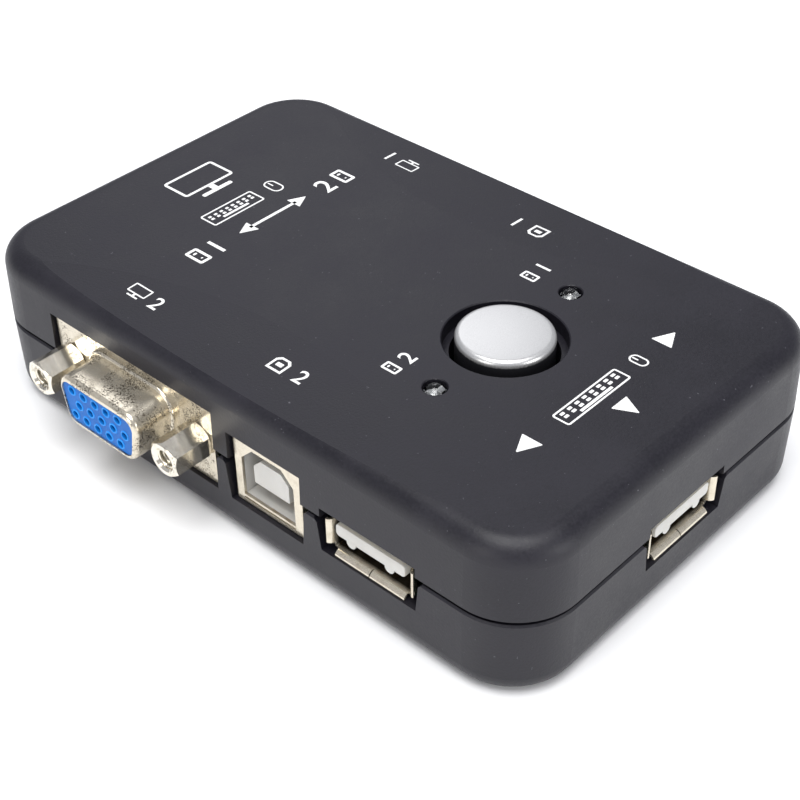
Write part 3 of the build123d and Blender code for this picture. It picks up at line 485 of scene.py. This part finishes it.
def makeThreadTree():
    # a helical ridge
    sizes = {"Radius": "Float", "Length": "Float", "Turns": "Float", "Ridge": "Float"}
    tree, source = startTree("threadRidge", sizes)
    inputs = {
        "Resolution": 40, "Rotations": source["Turns"], "Start Radius": source["Radius"],
        "End Radius": source["Radius"], "Height": source["Length"],
    }
    helix = addNode(tree, "GeometryNodeCurveSpiral", inputs).outputs["Curve"]
    inputs = {"Resolution": 6, "Radius": source["Ridge"]}
    profile = addNode(tree, "GeometryNodeCurvePrimitiveCircle", inputs, mode="RADIUS").outputs["Curve"]
    inputs = {"Curve": helix, "Profile Curve": profile, "Fill Caps": True}
    ridge = addNode(tree, "GeometryNodeCurveToMesh", inputs).outputs["Mesh"]
    endTree(tree, source, ridge)
    return tree


def runTree(holder, tree, values):
    # the tree's result as a plain mesh, with the modifier gone
    modifier = holder.modifiers.new(tree.name, "NODES")
    modifier.node_group = tree
    for name, value in values.items():
        modifier[tree.interface.items_tree[name].identifier] = value
    holder.update_tag()
    graph = bpy.context.evaluated_depsgraph_get()
    mesh = bpy.data.meshes.new_from_object(holder.evaluated_get(graph))
    holder.modifiers.clear()
    return mesh


copiesTree = makeCopiesTree()
threadTree = makeThreadTree()


def scatter(name, template, places, slotName, replaced=(), material=None):
    # the template mesh, in metres, copied to each (point in millimetres, turn) place
    points = bpy.data.meshes.new(name + "Points")
    points.from_pydata([Vector(point) * mm for point, turn in places], [], [])
    attribute = points.attributes.new("turn", "FLOAT_VECTOR", "POINT")
    for i, (point, turn) in enumerate(places):
        attribute.data[i].vector = turn
    holder, pattern = addObject(name + "Holder", points), addObject(name + "Template", template)
    values = {"Template": pattern, "Size": 1.0, "Material": material or finishes[slotName]}
    mesh = runTree(holder, copiesTree, values)
    bpy.data.objects.remove(holder)
    bpy.data.objects.remove(pattern)
    placePiece(name, mesh, "case", replaced)


def addThread(name, body, radius, ridge, pitch, turns, start, material):
    # the body's mesh with a helical ridge that starts at this height
    holder = addObject(name + "Holder", bpy.data.meshes.new(name + "Thread"))
    values = {
        "Radius": radius * mm, "Length": turns * pitch * mm, "Turns": turns, "Ridge": ridge * mm,
        "Material": material,
    }
    thread = runTree(holder, threadTree, values)
    bpy.data.objects.remove(holder)
    thread.transform(Matrix.Translation((0, 0, start * mm)))
    joined = bmesh.new()
    joined.from_mesh(body)
    joined.from_mesh(thread)
    mesh = bpy.data.meshes.new(name)
    joined.to_mesh(mesh)
    joined.free()
    return mesh


# Camera, floor and light

view = {
    "azimuth": -47.022, "elevation": 38.658, "roll": -0.82, "distance": 217.88, "lens": 71.57,
    "aimOffset": (-2.25, -6.87, -6.0),  # from the middle of the whole object
}


def placeCamera(settings):
    turnAngle, tilt = math.radians(settings["azimuth"]), math.radians(settings["elevation"])
    back = Vector((
        math.sin(turnAngle) * math.cos(tilt), -math.cos(turnAngle) * math.cos(tilt), math.sin(tilt),
    ))
    right = Vector((math.cos(turnAngle), math.sin(turnAngle), 0))
    basis = Matrix((right, back.cross(right), back)).transposed()
    basis = basis @ Matrix.Rotation(math.radians(settings["roll"]), 3, "Z")
    middle = (Vector(cadBox[0]) + Vector(cadBox[1])) / 2 / mm
    place = middle + Vector(settings["aimOffset"]) + back * settings["distance"]
    data = bpy.data.cameras.new("camera")
    data.lens = settings["lens"]
    data.clip_start = 0.01
    camera = addObject("camera", data)
    camera.matrix_world = Matrix.Translation(place * mm) @ basis.to_4x4()
    bpy.context.scene.camera = camera


placeCamera(view)

lights = {  # place, aim, size across and up in metres, watts, colour
    "overhead": ((-0.12, -0.08, 0.7), (0, 0, 0), (0.55, 0.55), 6.0, (1, 1, 1)),
    "behind": ((0.5, 0.55, 0.6), (0, 0, 0), (0.4, 0.3), 0.7, (0.97, 0.97, 1)),
    "left": ((-0.7, 0.0, 0.2), (0, 0, 0.01), (0.3, 0.3), 1.25, (1, 0.98, 0.95)),
    "front": ((0.1, -0.7, 0.2), (0, 0, 0.01), (0.3, 0.3), 1.7, (1, 1, 1)),
}


def lightStudio(settings):
    floorMaterial, tree, shader = startMaterial("paleFloor", (0.93, 0.93, 0.93), 0.7)
    tint = spread(tree, noise(tree, objectPoint(tree), 60, 2), 0.3, 0.7, 0.9, 0.93)
    tree.links.new(tint, shader.inputs["Base Color"])
    mesh = bpy.data.meshes.new("floor")
    reach, low = 3.0, (caseLow.z - 0.05) * mm  # just under the case, in metres
    signs = ((-1, -1), (1, -1), (1, 1), (-1, 1))
    mesh.from_pydata([(x * reach, y * reach, low) for x, y in signs], [], [(0, 1, 2, 3)])
    mesh.materials.append(floorMaterial)
    addObject("floor", mesh)
    for name, (place, aim, size, power, color) in settings.items():
        data = bpy.data.lights.new(name, "AREA")
        data.shape, data.size, data.size_y = "RECTANGLE", *size
        data.energy, data.color = power, color
        lamp = addObject(name, data)
        lamp.location = place
        lamp.rotation_euler = (Vector(place) - Vector(aim)).to_track_quat("Z", "Y").to_euler()
    world = bpy.data.worlds.new("studio")
    world.use_nodes = True
    world.node_tree.nodes["Background"].inputs["Color"].default_value = (0.9, 0.92, 1, 1)
    world.node_tree.nodes["Background"].inputs["Strength"].default_value = 0.45
    bpy.context.scene.world = world
    bpy.context.scene.view_settings.view_transform = "Standard"


lightStudio(lights)
print("camera and light placed")


# Printed marks on the roof

ink = {"lift": 0.006, "film": 0.02, "line": 0.42}
roof = nodes["upper_shell"].data
roofTree = BVHTree.FromPolygons([v.co / mm for v in roof.vertices], [p.vertices[:] for p in roof.polygons])


def frameShape(width, height, line, radius):
    # a rounded frame as (outer outline, inner outline)
    inner = max(radius - line, 0.05)
    return (roundCorners(rectangle(width, height), radius),
            roundCorners(rectangle(width - 2 * line, height - 2 * line), inner))


def moved(outline, x, y):
    return [(px + x, py + y) for px, py in outline]


def solidBox(width, height, x=0.0, y=0.0, radius=0.12):
    return (moved(roundCorners(rectangle(width, height), radius, 3), x, y), None)


def shifted(shapes, x, y):
    return [(moved(a, x, y), moved(b, x, y) if b else None) for a, b in shapes]


def monitorMark(height):
    # a screen on a stand
    line = ink["line"] * height / 7
    width = 1.25 * height
    screen = frameShape(width, 0.7 * height, max(line, 0.22), 0.08 * height)
    return shifted([screen], 0, 0.15 * height) + [
        solidBox(0.14 * height, 0.16 * height, 0, -0.27 * height, 0.02 * height),
        solidBox(0.6 * width, 0.1 * height, 0, -0.4 * height, 0.04 * height),
    ]


def towerMark(height):
    # a computer's upright case with a drive slot and a button
    width = 0.62 * height
    return [
        frameShape(width, height, 0.13 * height, 0.1 * height),
        solidBox(0.3 * width, 0.1 * height, 0, 0.2 * height, 0.04 * height),
        solidBox(0.16 * width, 0.1 * width, 0, -0.2 * height, 0.02 * height),
    ]


def squarePlugMark(height):
    # the square plug's outline with its core
    half, cut = height / 2, 0.22 * height
    line = 0.13 * height

    def outline(inset, corner):
        edge = half - inset
        return [(edge, -edge), (edge, edge - corner), (edge - corner, edge), (corner - edge, edge),
                (-edge, edge - corner), (-edge, -edge)]
    core = solidBox(0.4 * height, 0.26 * height, 0, 0, 0.03 * height)
    return [(outline(0, cut), outline(line, cut * 0.8)), core]


def keyboardMark(width, height):
    # a keyboard with two rows of keys over its space bar
    shapes = [frameShape(width, height, 0.26, 0.4)]
    columns, pitch = 8, (width - 1.0) / 8
    key, firstRow, rowPitch, corner = 0.42, 0.62, 0.66, 0.08
    for row in range(2):
        for column in range(columns):
            place = ((column - 3.5) * pitch, firstRow - rowPitch * row)
            shapes.append(solidBox(0.5 * pitch, key, *place, corner))
    shapes.append(solidBox(0.5 * width, key, 0, firstRow - rowPitch * 2, corner))
    return shapes


def mouseMark(height):
    # a mouse with its wheel
    wheel = solidBox(0.22, 0.34 * height, 0, 0.2 * height, 0.08)
    return [frameShape(0.62 * height, height, 0.24, 0.3 * height), wheel]


def digitShape(digit, height):
    # a plain numeral, as flat triangles
    curve = bpy.data.curves.new("numeral", "FONT")
    curve.body, curve.size = digit, height / 0.73
    curve.align_x, curve.offset = "CENTER", 0.012 * height
    curve.resolution_u = 8
    holder = addObject("numeral", curve)
    mesh = bpy.data.meshes.new_from_object(holder.evaluated_get(bpy.context.evaluated_depsgraph_get()))
    bpy.data.objects.remove(holder)
    low = min(v.co.y for v in mesh.vertices)
    return mesh, -low - height / 2


def arrowMark(size):
    return [(roundCorners([(-size / 2, -size * 0.5), (size / 2, 0), (-size / 2, size * 0.5)], 0.1, 3), None)]


def linkMark(width, height):
    # a line with an arrow head at each end
    head = 0.8 * height
    right = [(roundCorners([(0, -head / 2), (head, 0), (0, head / 2)], 0.06, 3), None)]
    left = [([(-x, y) for x, y in reversed(right[0][0])], None)]
    line = [solidBox(width - 1.6 * head, 0.16 * height, 0, 0, 0.05)]
    return shifted(right, width / 2 - head, 0) + shifted(left, head - width / 2, 0) + line


def stamp(shape, shapes, place, turn=0.0):
    # flat outlines pressed on the roof at a place, turned by degrees
    spin = Matrix.Rotation(math.radians(turn), 2)

    def lay(points):
        return [shape.verts.new((*(spin @ Vector(point) + Vector(place)), 0)) for point in points]
    for outer, inner in shapes:
        rim = lay(outer)
        if inner is None:
            shape.faces.new(rim)
            continue
        hole = lay(inner)
        for i in range(len(rim)):
            j = (i + 1) % len(rim)
            shape.faces.new((rim[i], rim[j], hole[j], hole[i]))


def stampDigit(shape, digit, height, place, turn=0.0):
    mesh, lift = digitShape(digit, height)
    spin = Matrix.Rotation(math.radians(turn), 2)
    points = [spin @ Vector((v.co.x, v.co.y + lift)) + Vector(place) for v in mesh.vertices]
    verts = [shape.verts.new((*point, 0)) for point in points]
    for polygon in mesh.polygons:
        shape.faces.new([verts[i] for i in polygon.vertices])


def layOnRoof(shape):
    # every point drops to the roof, and the film gets its thickness
    for vert in shape.verts:
        hit = roofTree.ray_cast(Vector((vert.co.x, vert.co.y, caseHigh.z + 5)), -up)[0]
        vert.co.z = hit.z + ink["lift"]
    for face in shape.faces:
        face.normal_update()
        if face.normal.z < 0:
            face.normal_flip()
    skin = bmesh.ops.extrude_face_region(shape, geom=shape.faces[:])
    for element in skin["geom"]:
        if isinstance(element, bmesh.types.BMVert):
            element.co.z += ink["film"]
    faceOut(shape)


def printMark(name, draw):
    shape = bmesh.new()
    draw(shape)
    layOnRoof(shape)
    addPiece(name, shape, "white_plastic", material=printWhite)


markPlaces = {
    "monitor": (0.35, 36.6), "title": (0.6, 28.1), "link": (0.8, 22.6), "keys": (-2.3, -35.5),
    "mouse": (7.2, -35.5), "leftArrow": (-14.8, -35.2), "rightArrow": (13.5, -35.5),
    "nearArrow": (-1.1, -40.1),
}
portMarks = {  # pictogram, number, place, degrees, gap from the middle
    "left_monitor": (monitorMark(2.7), "2", (-24.1, 20.4), -90, 1.9),
    "left_square": (squarePlugMark(2.6), "2", (-22.6, -4.7), -90, 1.9),
    "right_monitor": (monitorMark(2.7), "1", (23.75, 19.6), 90, 1.9),
    "right_square": (squarePlugMark(2.6), "1", (22.1, -5.9), 90, 1.9),
    "left_light": (towerMark(2.5), "2", (-12.7, -13.75), 0, 1.4),
    "right_light": (towerMark(2.5), "1", (14.05, -13.95), 0, 1.4),
}
portNumber = 2.5  # height of a port's number


def drawPort(mark, digit, place, turn, gap):
    # a pictogram and its number, side by side
    def draw(shape):
        along = Matrix.Rotation(math.radians(turn), 2) @ Vector((gap, 0))
        stamp(shape, mark, tuple(Vector(place) - along), turn)
        stampDigit(shape, digit, portNumber, tuple(Vector(place) + along), turn)
    return draw


def drawTitle(shape):
    x, y = markPlaces["title"]
    stamp(shape, keyboardMark(9.6, 3.3), (x - 2.4, y))
    stamp(shape, mouseMark(3.3), (x + 5.6, y))


def drawLink(shape):
    # the two computers with an arrow between them
    x, y = markPlaces["link"]
    height = 3.5
    stamp(shape, towerMark(height), (x - 14.0, y))
    stampDigit(shape, "1", height, (x - 10.8, y))
    stamp(shape, linkMark(13.0, 3.2), (x, y))
    stampDigit(shape, "2", height, (x + 10.3, y))
    stamp(shape, towerMark(height), (x + 13.9, y))


def drawConsole(shape):
    stamp(shape, keyboardMark(12.4, 2.7), markPlaces["keys"])
    stamp(shape, mouseMark(2.7), markPlaces["mouse"])
    for arrow, turn in (("leftArrow", 180), ("rightArrow", 0), ("nearArrow", -90)):
        stamp(shape, arrowMark(3.1), markPlaces[arrow], turn)


printMark("print_monitor", lambda shape: stamp(shape, monitorMark(7.4), markPlaces["monitor"]))
printMark("print_title", drawTitle)
printMark("print_link", drawLink)
printMark("print_console", drawConsole)
for port, mark in portMarks.items():
    printMark("print_" + port, drawPort(*mark))
print("roof marks printed")


# Push button

button = {
    "footOverhang": 1.5, "edge": 0.75, "crown": 0.12, "skin": 1.3, "footHeight": 1.2, "stem": 3.0,
    "bore": 1.78, "boreDepth": 3.5,
}


def middleOf(low, high):
    return ((low.x + high.x) / 2 / mm, (low.y + high.y) / 2 / mm)


def buildButton(settings):
    low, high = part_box("button_cap")
    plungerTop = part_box("switch_plunger")[1].z / mm
    centre = middleOf(low, high)
    top, foot, footRadius = high.z / mm, low.z / mm, (high.x - low.x) / 2 / mm
    radius, edge, crown = footRadius - settings["footOverhang"], settings["edge"], settings["crown"]
    flat = radius - edge
    profile = [(flat * i / 8, top - crown * (i / 8) ** 2) for i in range(8)]
    profile += arc((flat, top - crown - edge), edge, 90, 0, 10)
    ledge, inside, under = foot + settings["footHeight"], radius - settings["skin"], top - settings["skin"]
    stem, bore, mouth = settings["stem"], settings["bore"], plungerTop - settings["boreDepth"]
    profile += [(radius, ledge), (footRadius, ledge), (footRadius, foot), (inside, foot), (inside, under),
                (stem, under), (stem, mouth), (bore, mouth), (bore, plungerTop), (0, plungerTop)]
    shape = bmesh.new()
    turnProfile(shape, profile, 128, centre)
    faceOut(shape)
    addPiece("button", shape, "silver_button", "button", ["button_cap"])


buildButton(button)

# Lights

light = {
    "radius": 1.5, "rim": 1.9, "rimHeight": 1.0, "cupDrop": 1.5, "cupShift": 0.35, "post": 0.26,
    "postCorner": 0.08, "gap": 1.27, "postTops": (-1.1, 0.05),  # from the cup's top
    "cup": ((0, -0.3), (0.36, -0.3), (0.68, 0), (0.8, 0), (0.64, -0.8), (0.3, -1.2), (0, -1.2)),
}


def buildLight(number, settings):
    low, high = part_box(f"led_{number}_lens")
    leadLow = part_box(f"led_{number}_leads")[0].z / mm
    centre = middleOf(low, high)
    base, top, radius = low.z / mm, high.z / mm, settings["radius"]
    profile = [(0, base), (settings["rim"], base), (settings["rim"], base + settings["rimHeight"]),
               (radius, base + settings["rimHeight"])]
    profile += arc((0, top - radius), radius, 0, 90, 14)[:-1] + [(0, top)]
    lens = bmesh.new()
    turnProfile(lens, profile, 64, centre)
    faceOut(lens)
    addPiece(f"led_{number}_bulb", lens, "clear_lens", replaced=[f"led_{number}_lens"])
    metal = bmesh.new()  # a cup on one lead, a post on the other
    cupTop, half = top - settings["cupDrop"], settings["gap"] / 2
    cupCentre = (centre[0] - half + settings["cupShift"], centre[1])
    turnProfile(metal, [(out, cupTop + height) for out, height in settings["cup"]], 32, cupCentre)
    for side, reach in zip((-half, half), settings["postTops"]):
        post = rectangle(2 * settings["post"], 2 * settings["post"])
        post = roundCorners(moved(post, centre[0] + side, centre[1]), settings["postCorner"], 3)
        joinRings(metal, [[(*p, z) for p in post] for z in (leadLow, cupTop + reach)], capped=True)
    faceOut(metal)
    addPiece(f"led_{number}_frame", metal, "tin_plate", replaced=[f"led_{number}_leads"])


for number in (1, 2):
    buildLight(number, light)
print("button and lights built")


# Monitor sockets: raised rims round the contact holes, and threaded jack screws

jack = {
    "flats": 4.75, "reach": 6.0, "chamfer": 0.32, "chamferAngle": 35, "hole": 1.42, "mouth": 0.32,
    "holeDepth": 5.0, "stud": 1.4, "studLength": 5.0, "threadPitch": 0.635, "threadEnd": 0.3,
    "ridge": 0.22, "spacing": 24.99, "steps": 72,
}
monitorSockets = {
    "vga_computer_1": "computer_1_jackscrews", "vga_computer_2": "computer_2_jackscrews",
    "vga_monitor": "monitor_jackscrews",
}


def jackTemplate(settings):
    # the hexagon's corners are turned down to a cone at both ends, as on a machined standoff
    shape = bmesh.new()
    half, reach, steps = settings["flats"] / 2, settings["reach"], settings["steps"]
    chamfer, slope = settings["chamfer"], math.tan(math.radians(settings["chamferAngle"]))
    angles = [2 * math.pi * i / steps for i in range(steps)]

    def hexRadius(angle):
        return half / math.cos((angle + math.pi / 6) % (math.pi / 3) - math.pi / 6)

    def ring(radii, heights):
        return [(r * math.cos(a), r * math.sin(a), z) for a, r, z in zip(angles, radii, heights)]

    def circle(radius, height):
        return ring([radius] * steps, [height] * steps)
    hexes = [hexRadius(a) for a in angles]
    face = half - chamfer * 0.3
    front = [reach - (r - face) * slope for r in hexes]
    back = [(r - face) * slope for r in hexes]
    hole, stud, floor = settings["hole"], settings["stud"], reach - settings["holeDepth"]
    rings = [circle(stud, -settings["studLength"]), circle(stud, 0), circle(face, 0), ring(hexes, back),
             ring(hexes, front), circle(face, reach), circle(hole + settings["mouth"], reach),
             circle(hole, reach - settings["mouth"]), circle(hole, floor)]
    joinRings(shape, rings)
    rows = len(rings) * steps
    shape.verts.ensure_lookup_table()
    shape.faces.new(reversed(shape.verts[:steps]))
    shape.faces.new(shape.verts[rows - steps:rows])
    faceOut(shape)
    body = meshOf(shape, "jackBody", 24)
    pitch, end = settings["threadPitch"], settings["threadEnd"]
    turns = (settings["holeDepth"] - 0.6) / pitch
    return addThread("jackTemplate", body, hole, settings["ridge"], pitch, turns, floor + end, jackNickel)


contactHoles = {"pitch": 2.29, "rowPitch": 1.98, "rim": 0.7, "hole": 0.55, "rimHeight": 0.12}


def rimTemplate(settings):
    # the softly raised lip of one contact hole
    shape = bmesh.new()
    inner, outer, high = settings["hole"], settings["rim"] + 0.1, settings["rimHeight"]
    turnProfile(shape, [(inner, -0.3), (inner, high * 0.7), (inner + 0.06, high), (outer - 0.08, high * 0.8),
                        (outer, -0.02), (outer, -0.3)], 24)
    faceOut(shape)
    return meshOf(shape, "rimTemplate", 50)


def buildMonitorSocket(name, mountName):
    toCase = socketFrame(mountName, jack["reach"])
    turn = toCase.to_euler()
    places = [(toCase @ Vector((side * jack["spacing"] / 2, 0, 0)), turn) for side in (-1, 1)]
    scatter(f"{name}_jacks", jackTemplate(jack), places, "nickel_plate", replaced=[f"{name}_jackscrews"],
            material=jackNickel)
    out = Vector(mounts[mountName]["axis"])
    corners = [Vector(c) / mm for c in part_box(f"{name}_insulator")]
    front = max(corner.dot(out) for corner in corners) - toCase.translation.dot(out)
    rims = []
    pitch = contactHoles["pitch"]
    for row in range(3):
        shift = pitch / 4 * (1 if row == 1 else -1)
        for column in range(5):
            local = Vector(((column - 2) * pitch + shift, (1 - row) * contactHoles["rowPitch"], front))
            rims.append((toCase @ local, turn))
    # the rims get the lighter blue with its painted highlight
    scatter(f"{name}_rims", rimTemplate(contactHoles), rims, "blue_plastic", material=rimHighlightBlue)


for socketName, mountName in monitorSockets.items():
    buildMonitorSocket(socketName, mountName)
print("monitor sockets finished")


# Flat sockets: rolled lips, a rounded tongue with its two bumps, and spring contacts

flat = {
    "width": 13.1, "height": 5.7, "depth": 13.8, "sheet": 0.3, "corner": 0.6, "lipReach": 0.9,
    "lipSpread": 0.55, "endGap": 0.9, "seam": 0.16, "prongWidth": 1.4, "prongBack": 6.9, "rise": 4.55,
}
tongue = {
    "width": 11.2, "height": 1.84, "bottom": 0.05, "back": 0.3, "length": 9.7, "corner": 0.5, "edge": 0.12,
    "bumpX": 3.1, "bump": 0.75, "bumpLength": 2.0, "slack": 0.05, "plate": 1.6,
}
springs = {
    "places": (-3.5, -1.0, 1.0, 3.5), "width": 0.9, "sheet": 0.2, "lead": 0.5, "dip": 0.55, "start": 2.6,
}
flatSockets = {
    "usb_device_left": "device_socket_left", "usb_device_right": "device_socket_right",
    "usb_device_near": "device_socket_near",
}


def addLip(shape, outward, edge, starts, settings):
    # sheet that rolls outward from one edge of the mouth, from one place along it to another
    along = Vector((-outward.y, outward.x, 0))
    thick = settings["sheet"]
    run, rise = settings["lipSpread"], settings["lipReach"] - thick / 2
    sweep = 2 * math.atan(run / rise)
    bend = rise / math.sin(sweep)
    base = edge - thick / 2
    foot = settings["lipReach"]

    def curl(k, radius):
        angle = sweep * k / 8
        return (base + bend - radius * math.cos(angle), radius * math.sin(angle) - foot)
    section = [curl(k, bend + thick / 2) for k in range(9)]
    tip = (base + run, -thick / 2)
    for k in range(1, 6):
        angle = math.pi - sweep - math.pi * k / 6
        section.append((tip[0] + thick / 2 * math.cos(angle), tip[1] + thick / 2 * math.sin(angle)))
    section += [curl(k, bend - thick / 2) for k in range(8, -1, -1)]
    rings = [[outward * r + along * place + up * out for r, out in section] for place in starts]
    joinRings(shape, rings, capped=True)


def finishSocket(shape, toCase):
    faceOut(shape)
    shape.transform(toCase)


def addBlock(shape, width, height, place, back, front, corner=0.05):
    # a bar with rounded corners, from back to front along the socket's axis
    outline = moved(roundCorners(rectangle(width, height), corner, 3), *place)
    joinRings(shape, [[(*point, z) for point in outline] for z in (back, front)], capped=True)


def buildFlatSocket(name, mountName, settings):
    toCase = socketFrame(mountName)
    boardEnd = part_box(f"{name}_contacts")[0].z / mm - toCase.translation.z
    half = (settings["width"] / 2, settings["height"] / 2)
    sheet = settings["sheet"]
    shape = bmesh.new()
    outer = roundCorners(rectangle(2 * half[0], 2 * half[1]), settings["corner"])
    inner = roundCorners(rectangle(2 * (half[0] - sheet), 2 * (half[1] - sheet)), settings["corner"] - sheet)
    front, back = -settings["lipReach"], -settings["lipReach"] - settings["depth"]
    rings = [(outer, back), (outer, front), (inner, front), (inner, back), (outer, back)]
    joinRings(shape, [[(*point, z) for point in outline] for outline, z in rings])
    bmesh.ops.remove_doubles(shape, verts=shape.verts[:], dist=0.001)
    reach, seam = half[0] - settings["endGap"], settings["seam"] / 2
    for sign, starts in ((1, (-reach, reach)), (-1, (-reach, -seam)), (-1, (seam, reach))):
        addLip(shape, Vector((0, sign, 0)), half[1], starts, settings)
    rise, prong, halfProng = half[1] - settings["endGap"], -settings["prongBack"], settings["prongWidth"] / 2
    for side in (-1, 1):
        addLip(shape, Vector((side, 0, 0)), half[0], (-rise, rise), settings)
        addBlock(shape, sheet, -boardEnd, (side * (half[0] - sheet / 2), boardEnd / 2),
                 prong - halfProng, prong + halfProng)
    finishSocket(shape, toCase)
    addPiece(f"{name}_sheet", shape, "nickel_plate", replaced=[f"{name}_shell"], material=sheetNickel)


def tongueOutline(settings, inset):
    # the tongue's end view, pulled in by the inset
    low, high = settings["bottom"] + inset, settings["bottom"] + settings["height"] - inset
    half = settings["width"] / 2 - inset
    return roundCorners([(half, high), (-half, high), (-half, low), (half, low)], settings["corner"])


def buildTongue(name, mountName, settings):
    toCase = socketFrame(mountName)
    shape = bmesh.new()
    front, edge = -settings["back"], settings["edge"]
    back = front - settings["length"]
    rings = [(edge, front), (edge * 0.3, front - edge * 0.3), (0, front - edge), (0, back)]
    rings = [[(*point, z) for point in tongueOutline(settings, inset)] for inset, z in rings]
    joinRings(shape, rings, capped=True)
    for side in (-1, 1):
        outline = arc((side * settings["bumpX"], settings["bottom"]), settings["bump"], 180, 360, 14)
        sunk = settings["bottom"] + 0.4  # the bump's root inside the tongue
        outline += [(outline[-1][0], sunk), (outline[0][0], sunk)]
        rows = [[(*point, z) for point in outline] for z in (front - 0.02, front - settings["bumpLength"])]
        joinRings(shape, rows, capped=True)
    inner = flat["sheet"] + settings["slack"]
    tubeBack = -flat["lipReach"] - flat["depth"]
    addBlock(shape, flat["width"] - 2 * inner, flat["height"] - 2 * inner, (0, 0), tubeBack, back, 0.2)
    plateLow = -flat["rise"]
    plateHeight = flat["height"] / 2 - plateLow
    addBlock(shape, flat["width"] - 2 * flat["sheet"], plateHeight, (0, plateLow + plateHeight / 2),
             tubeBack - settings["plate"], tubeBack, 0.15)
    finishSocket(shape, toCase)
    addPiece(f"{name}_tongue", shape, "white_plastic", replaced=[f"{name}_insulator"])


def springTemplate(settings, bottom, leg):
    # one contact: a sprung hump under the tongue, a straight run back and a leg through the board
    level = tongue["bottom"] - settings["sheet"] / 2
    dips = [settings["dip"] * math.sin(math.pi * k / 14) ** 2 for k in range(15)]
    line = [(-settings["start"] - 0.25 * k, level - dip) for k, dip in enumerate(dips)]
    line += [(leg + 0.5, level), (leg + 0.15, level - 0.08), (leg, level - 0.4), (leg, bottom)]
    shape = bmesh.new()
    rings = []
    for i, (out, high) in enumerate(line):
        before, after = Vector(line[max(i - 1, 0)]), Vector(line[min(i + 1, len(line) - 1)])
        heading = (after - before).normalized()
        side = Vector((-heading.y, heading.x)) * settings["sheet"] / 2
        half = (settings["width"] if i < 16 else settings["lead"]) / 2
        over, below = Vector((out, high)) + side, Vector((out, high)) - side
        corners = ((-half, over), (half, over), (half, below), (-half, below))
        rings.append([(x, point.y, point.x) for x, point in corners])
    joinRings(shape, rings, capped=True)
    faceOut(shape)
    return meshOf(shape, "springTemplate", 40)


def buildSprings(name, mountName, settings):
    toCase = socketFrame(mountName)
    out = Vector(mounts[mountName]["axis"])
    low, high = (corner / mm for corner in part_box(f"{name}_contacts"))
    leg = min(low.dot(out), high.dot(out)) - toCase.translation.dot(out) + settings["lead"] / 2
    template = springTemplate(settings, low.z - toCase.translation.z, leg)
    turn = toCase.to_euler()
    places = [(toCase @ Vector((x, 0, 0)), turn) for x in settings["places"]]
    scatter(f"{name}_springs", template, places, "contact_gold", replaced=[f"{name}_contacts"])


for socketName, mountName in flatSockets.items():
    buildFlatSocket(socketName, mountName, flat)
    buildTongue(socketName, mountName, tongue)
    buildSprings(socketName, mountName, springs)
print("flat sockets finished")

# Case screws, seen from below

screw = {
    "head": 2.6, "headHeight": 1.7, "rimShare": 0.45, "shaft": 1.28, "length": 14.0, "pitch": 0.9,
    "threadEnd": 0.5, "arm": 0.42, "armSlope": 0.12, "armReach": 1.5, "tipSlope": 0.9, "recess": 1.1,
    "steps": 64, "ridge": 0.1, "turns": (0.3, 1.1, 0.7, 0.1),
}


def screwTemplate(settings):
    # a pan head with a tapered cross recess; it points down, with its seat at zero
    shape = bmesh.new()
    steps, head, height = settings["steps"], settings["head"], settings["headHeight"]
    angles = [2 * math.pi * i / steps for i in range(steps)]

    def depth(x, y):
        # how deep the cross is cut at a point of the head
        arms = [(abs(x), abs(y)), (abs(y), abs(x))]
        cut = 0.0
        for across, along in arms:
            side = min(max((settings["arm"] - across) / settings["armSlope"], 0), 1)
            end = min(max((settings["armReach"] - along) / settings["tipSlope"], 0), 1)
            cut = max(cut, min(side, end))
        return cut * settings["recess"]

    def circle(radius):
        return [(radius * math.cos(a), radius * math.sin(a)) for a in angles]
    shaft, rim = settings["shaft"], settings["rimShare"]
    levels = ((shaft, settings["length"]), (shaft, 0), (head, 0), (head, -height * rim))
    rings = [[(*point, z) for point in circle(radius)] for radius, z in levels]
    for k in range(1, 25):
        share = k / 24
        radius = head * math.cos(share * math.pi / 2) ** 0.6 if k < 24 else 0.02
        drop = height * (rim + (1 - rim) * math.sin(share * math.pi / 2) ** 0.8)
        rings.append([(*point, depth(*point) - drop) for point in circle(radius)])
    joinRings(shape, rings, capped=True)
    faceOut(shape)
    body = meshOf(shape, "screwBody", 28)
    ridge, pitch, end = settings["ridge"], settings["pitch"], settings["threadEnd"]
    turns = (settings["length"] - 2 * end) / pitch
    return addThread("screwTemplate", body, shaft - ridge * 0.8, ridge, pitch, turns, end,
                     finishes["screw_steel"])


def buildCaseScrews(settings):
    low, high = (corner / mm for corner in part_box("case_screws"))
    seat = low.z + settings["headHeight"]
    xs = (low.x + settings["head"], high.x - settings["head"])
    ys = (low.y + settings["head"], high.y - settings["head"])
    spots = [(x, y) for x in xs for y in ys]
    places = [(Vector((*spot, seat)), Vector((0, 0, turn))) for spot, turn in zip(spots, settings["turns"])]
    scatter("case_screw_set", screwTemplate(settings), places, "screw_steel", replaced=["case_screws"])


buildCaseScrews(screw)
print("case screws finished")


def buildSnapDome():
    # a copy of the switch's dome mesh in place of the original (the real dome flattens towards its rim as the
    # button goes down)
    mesh = nodes["switch_dome"].data.copy()
    dome = placePiece("switch_dome_spring", mesh, "case", ["switch_dome"])
    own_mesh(dome)


buildSnapDome()
print("snap dome finished")
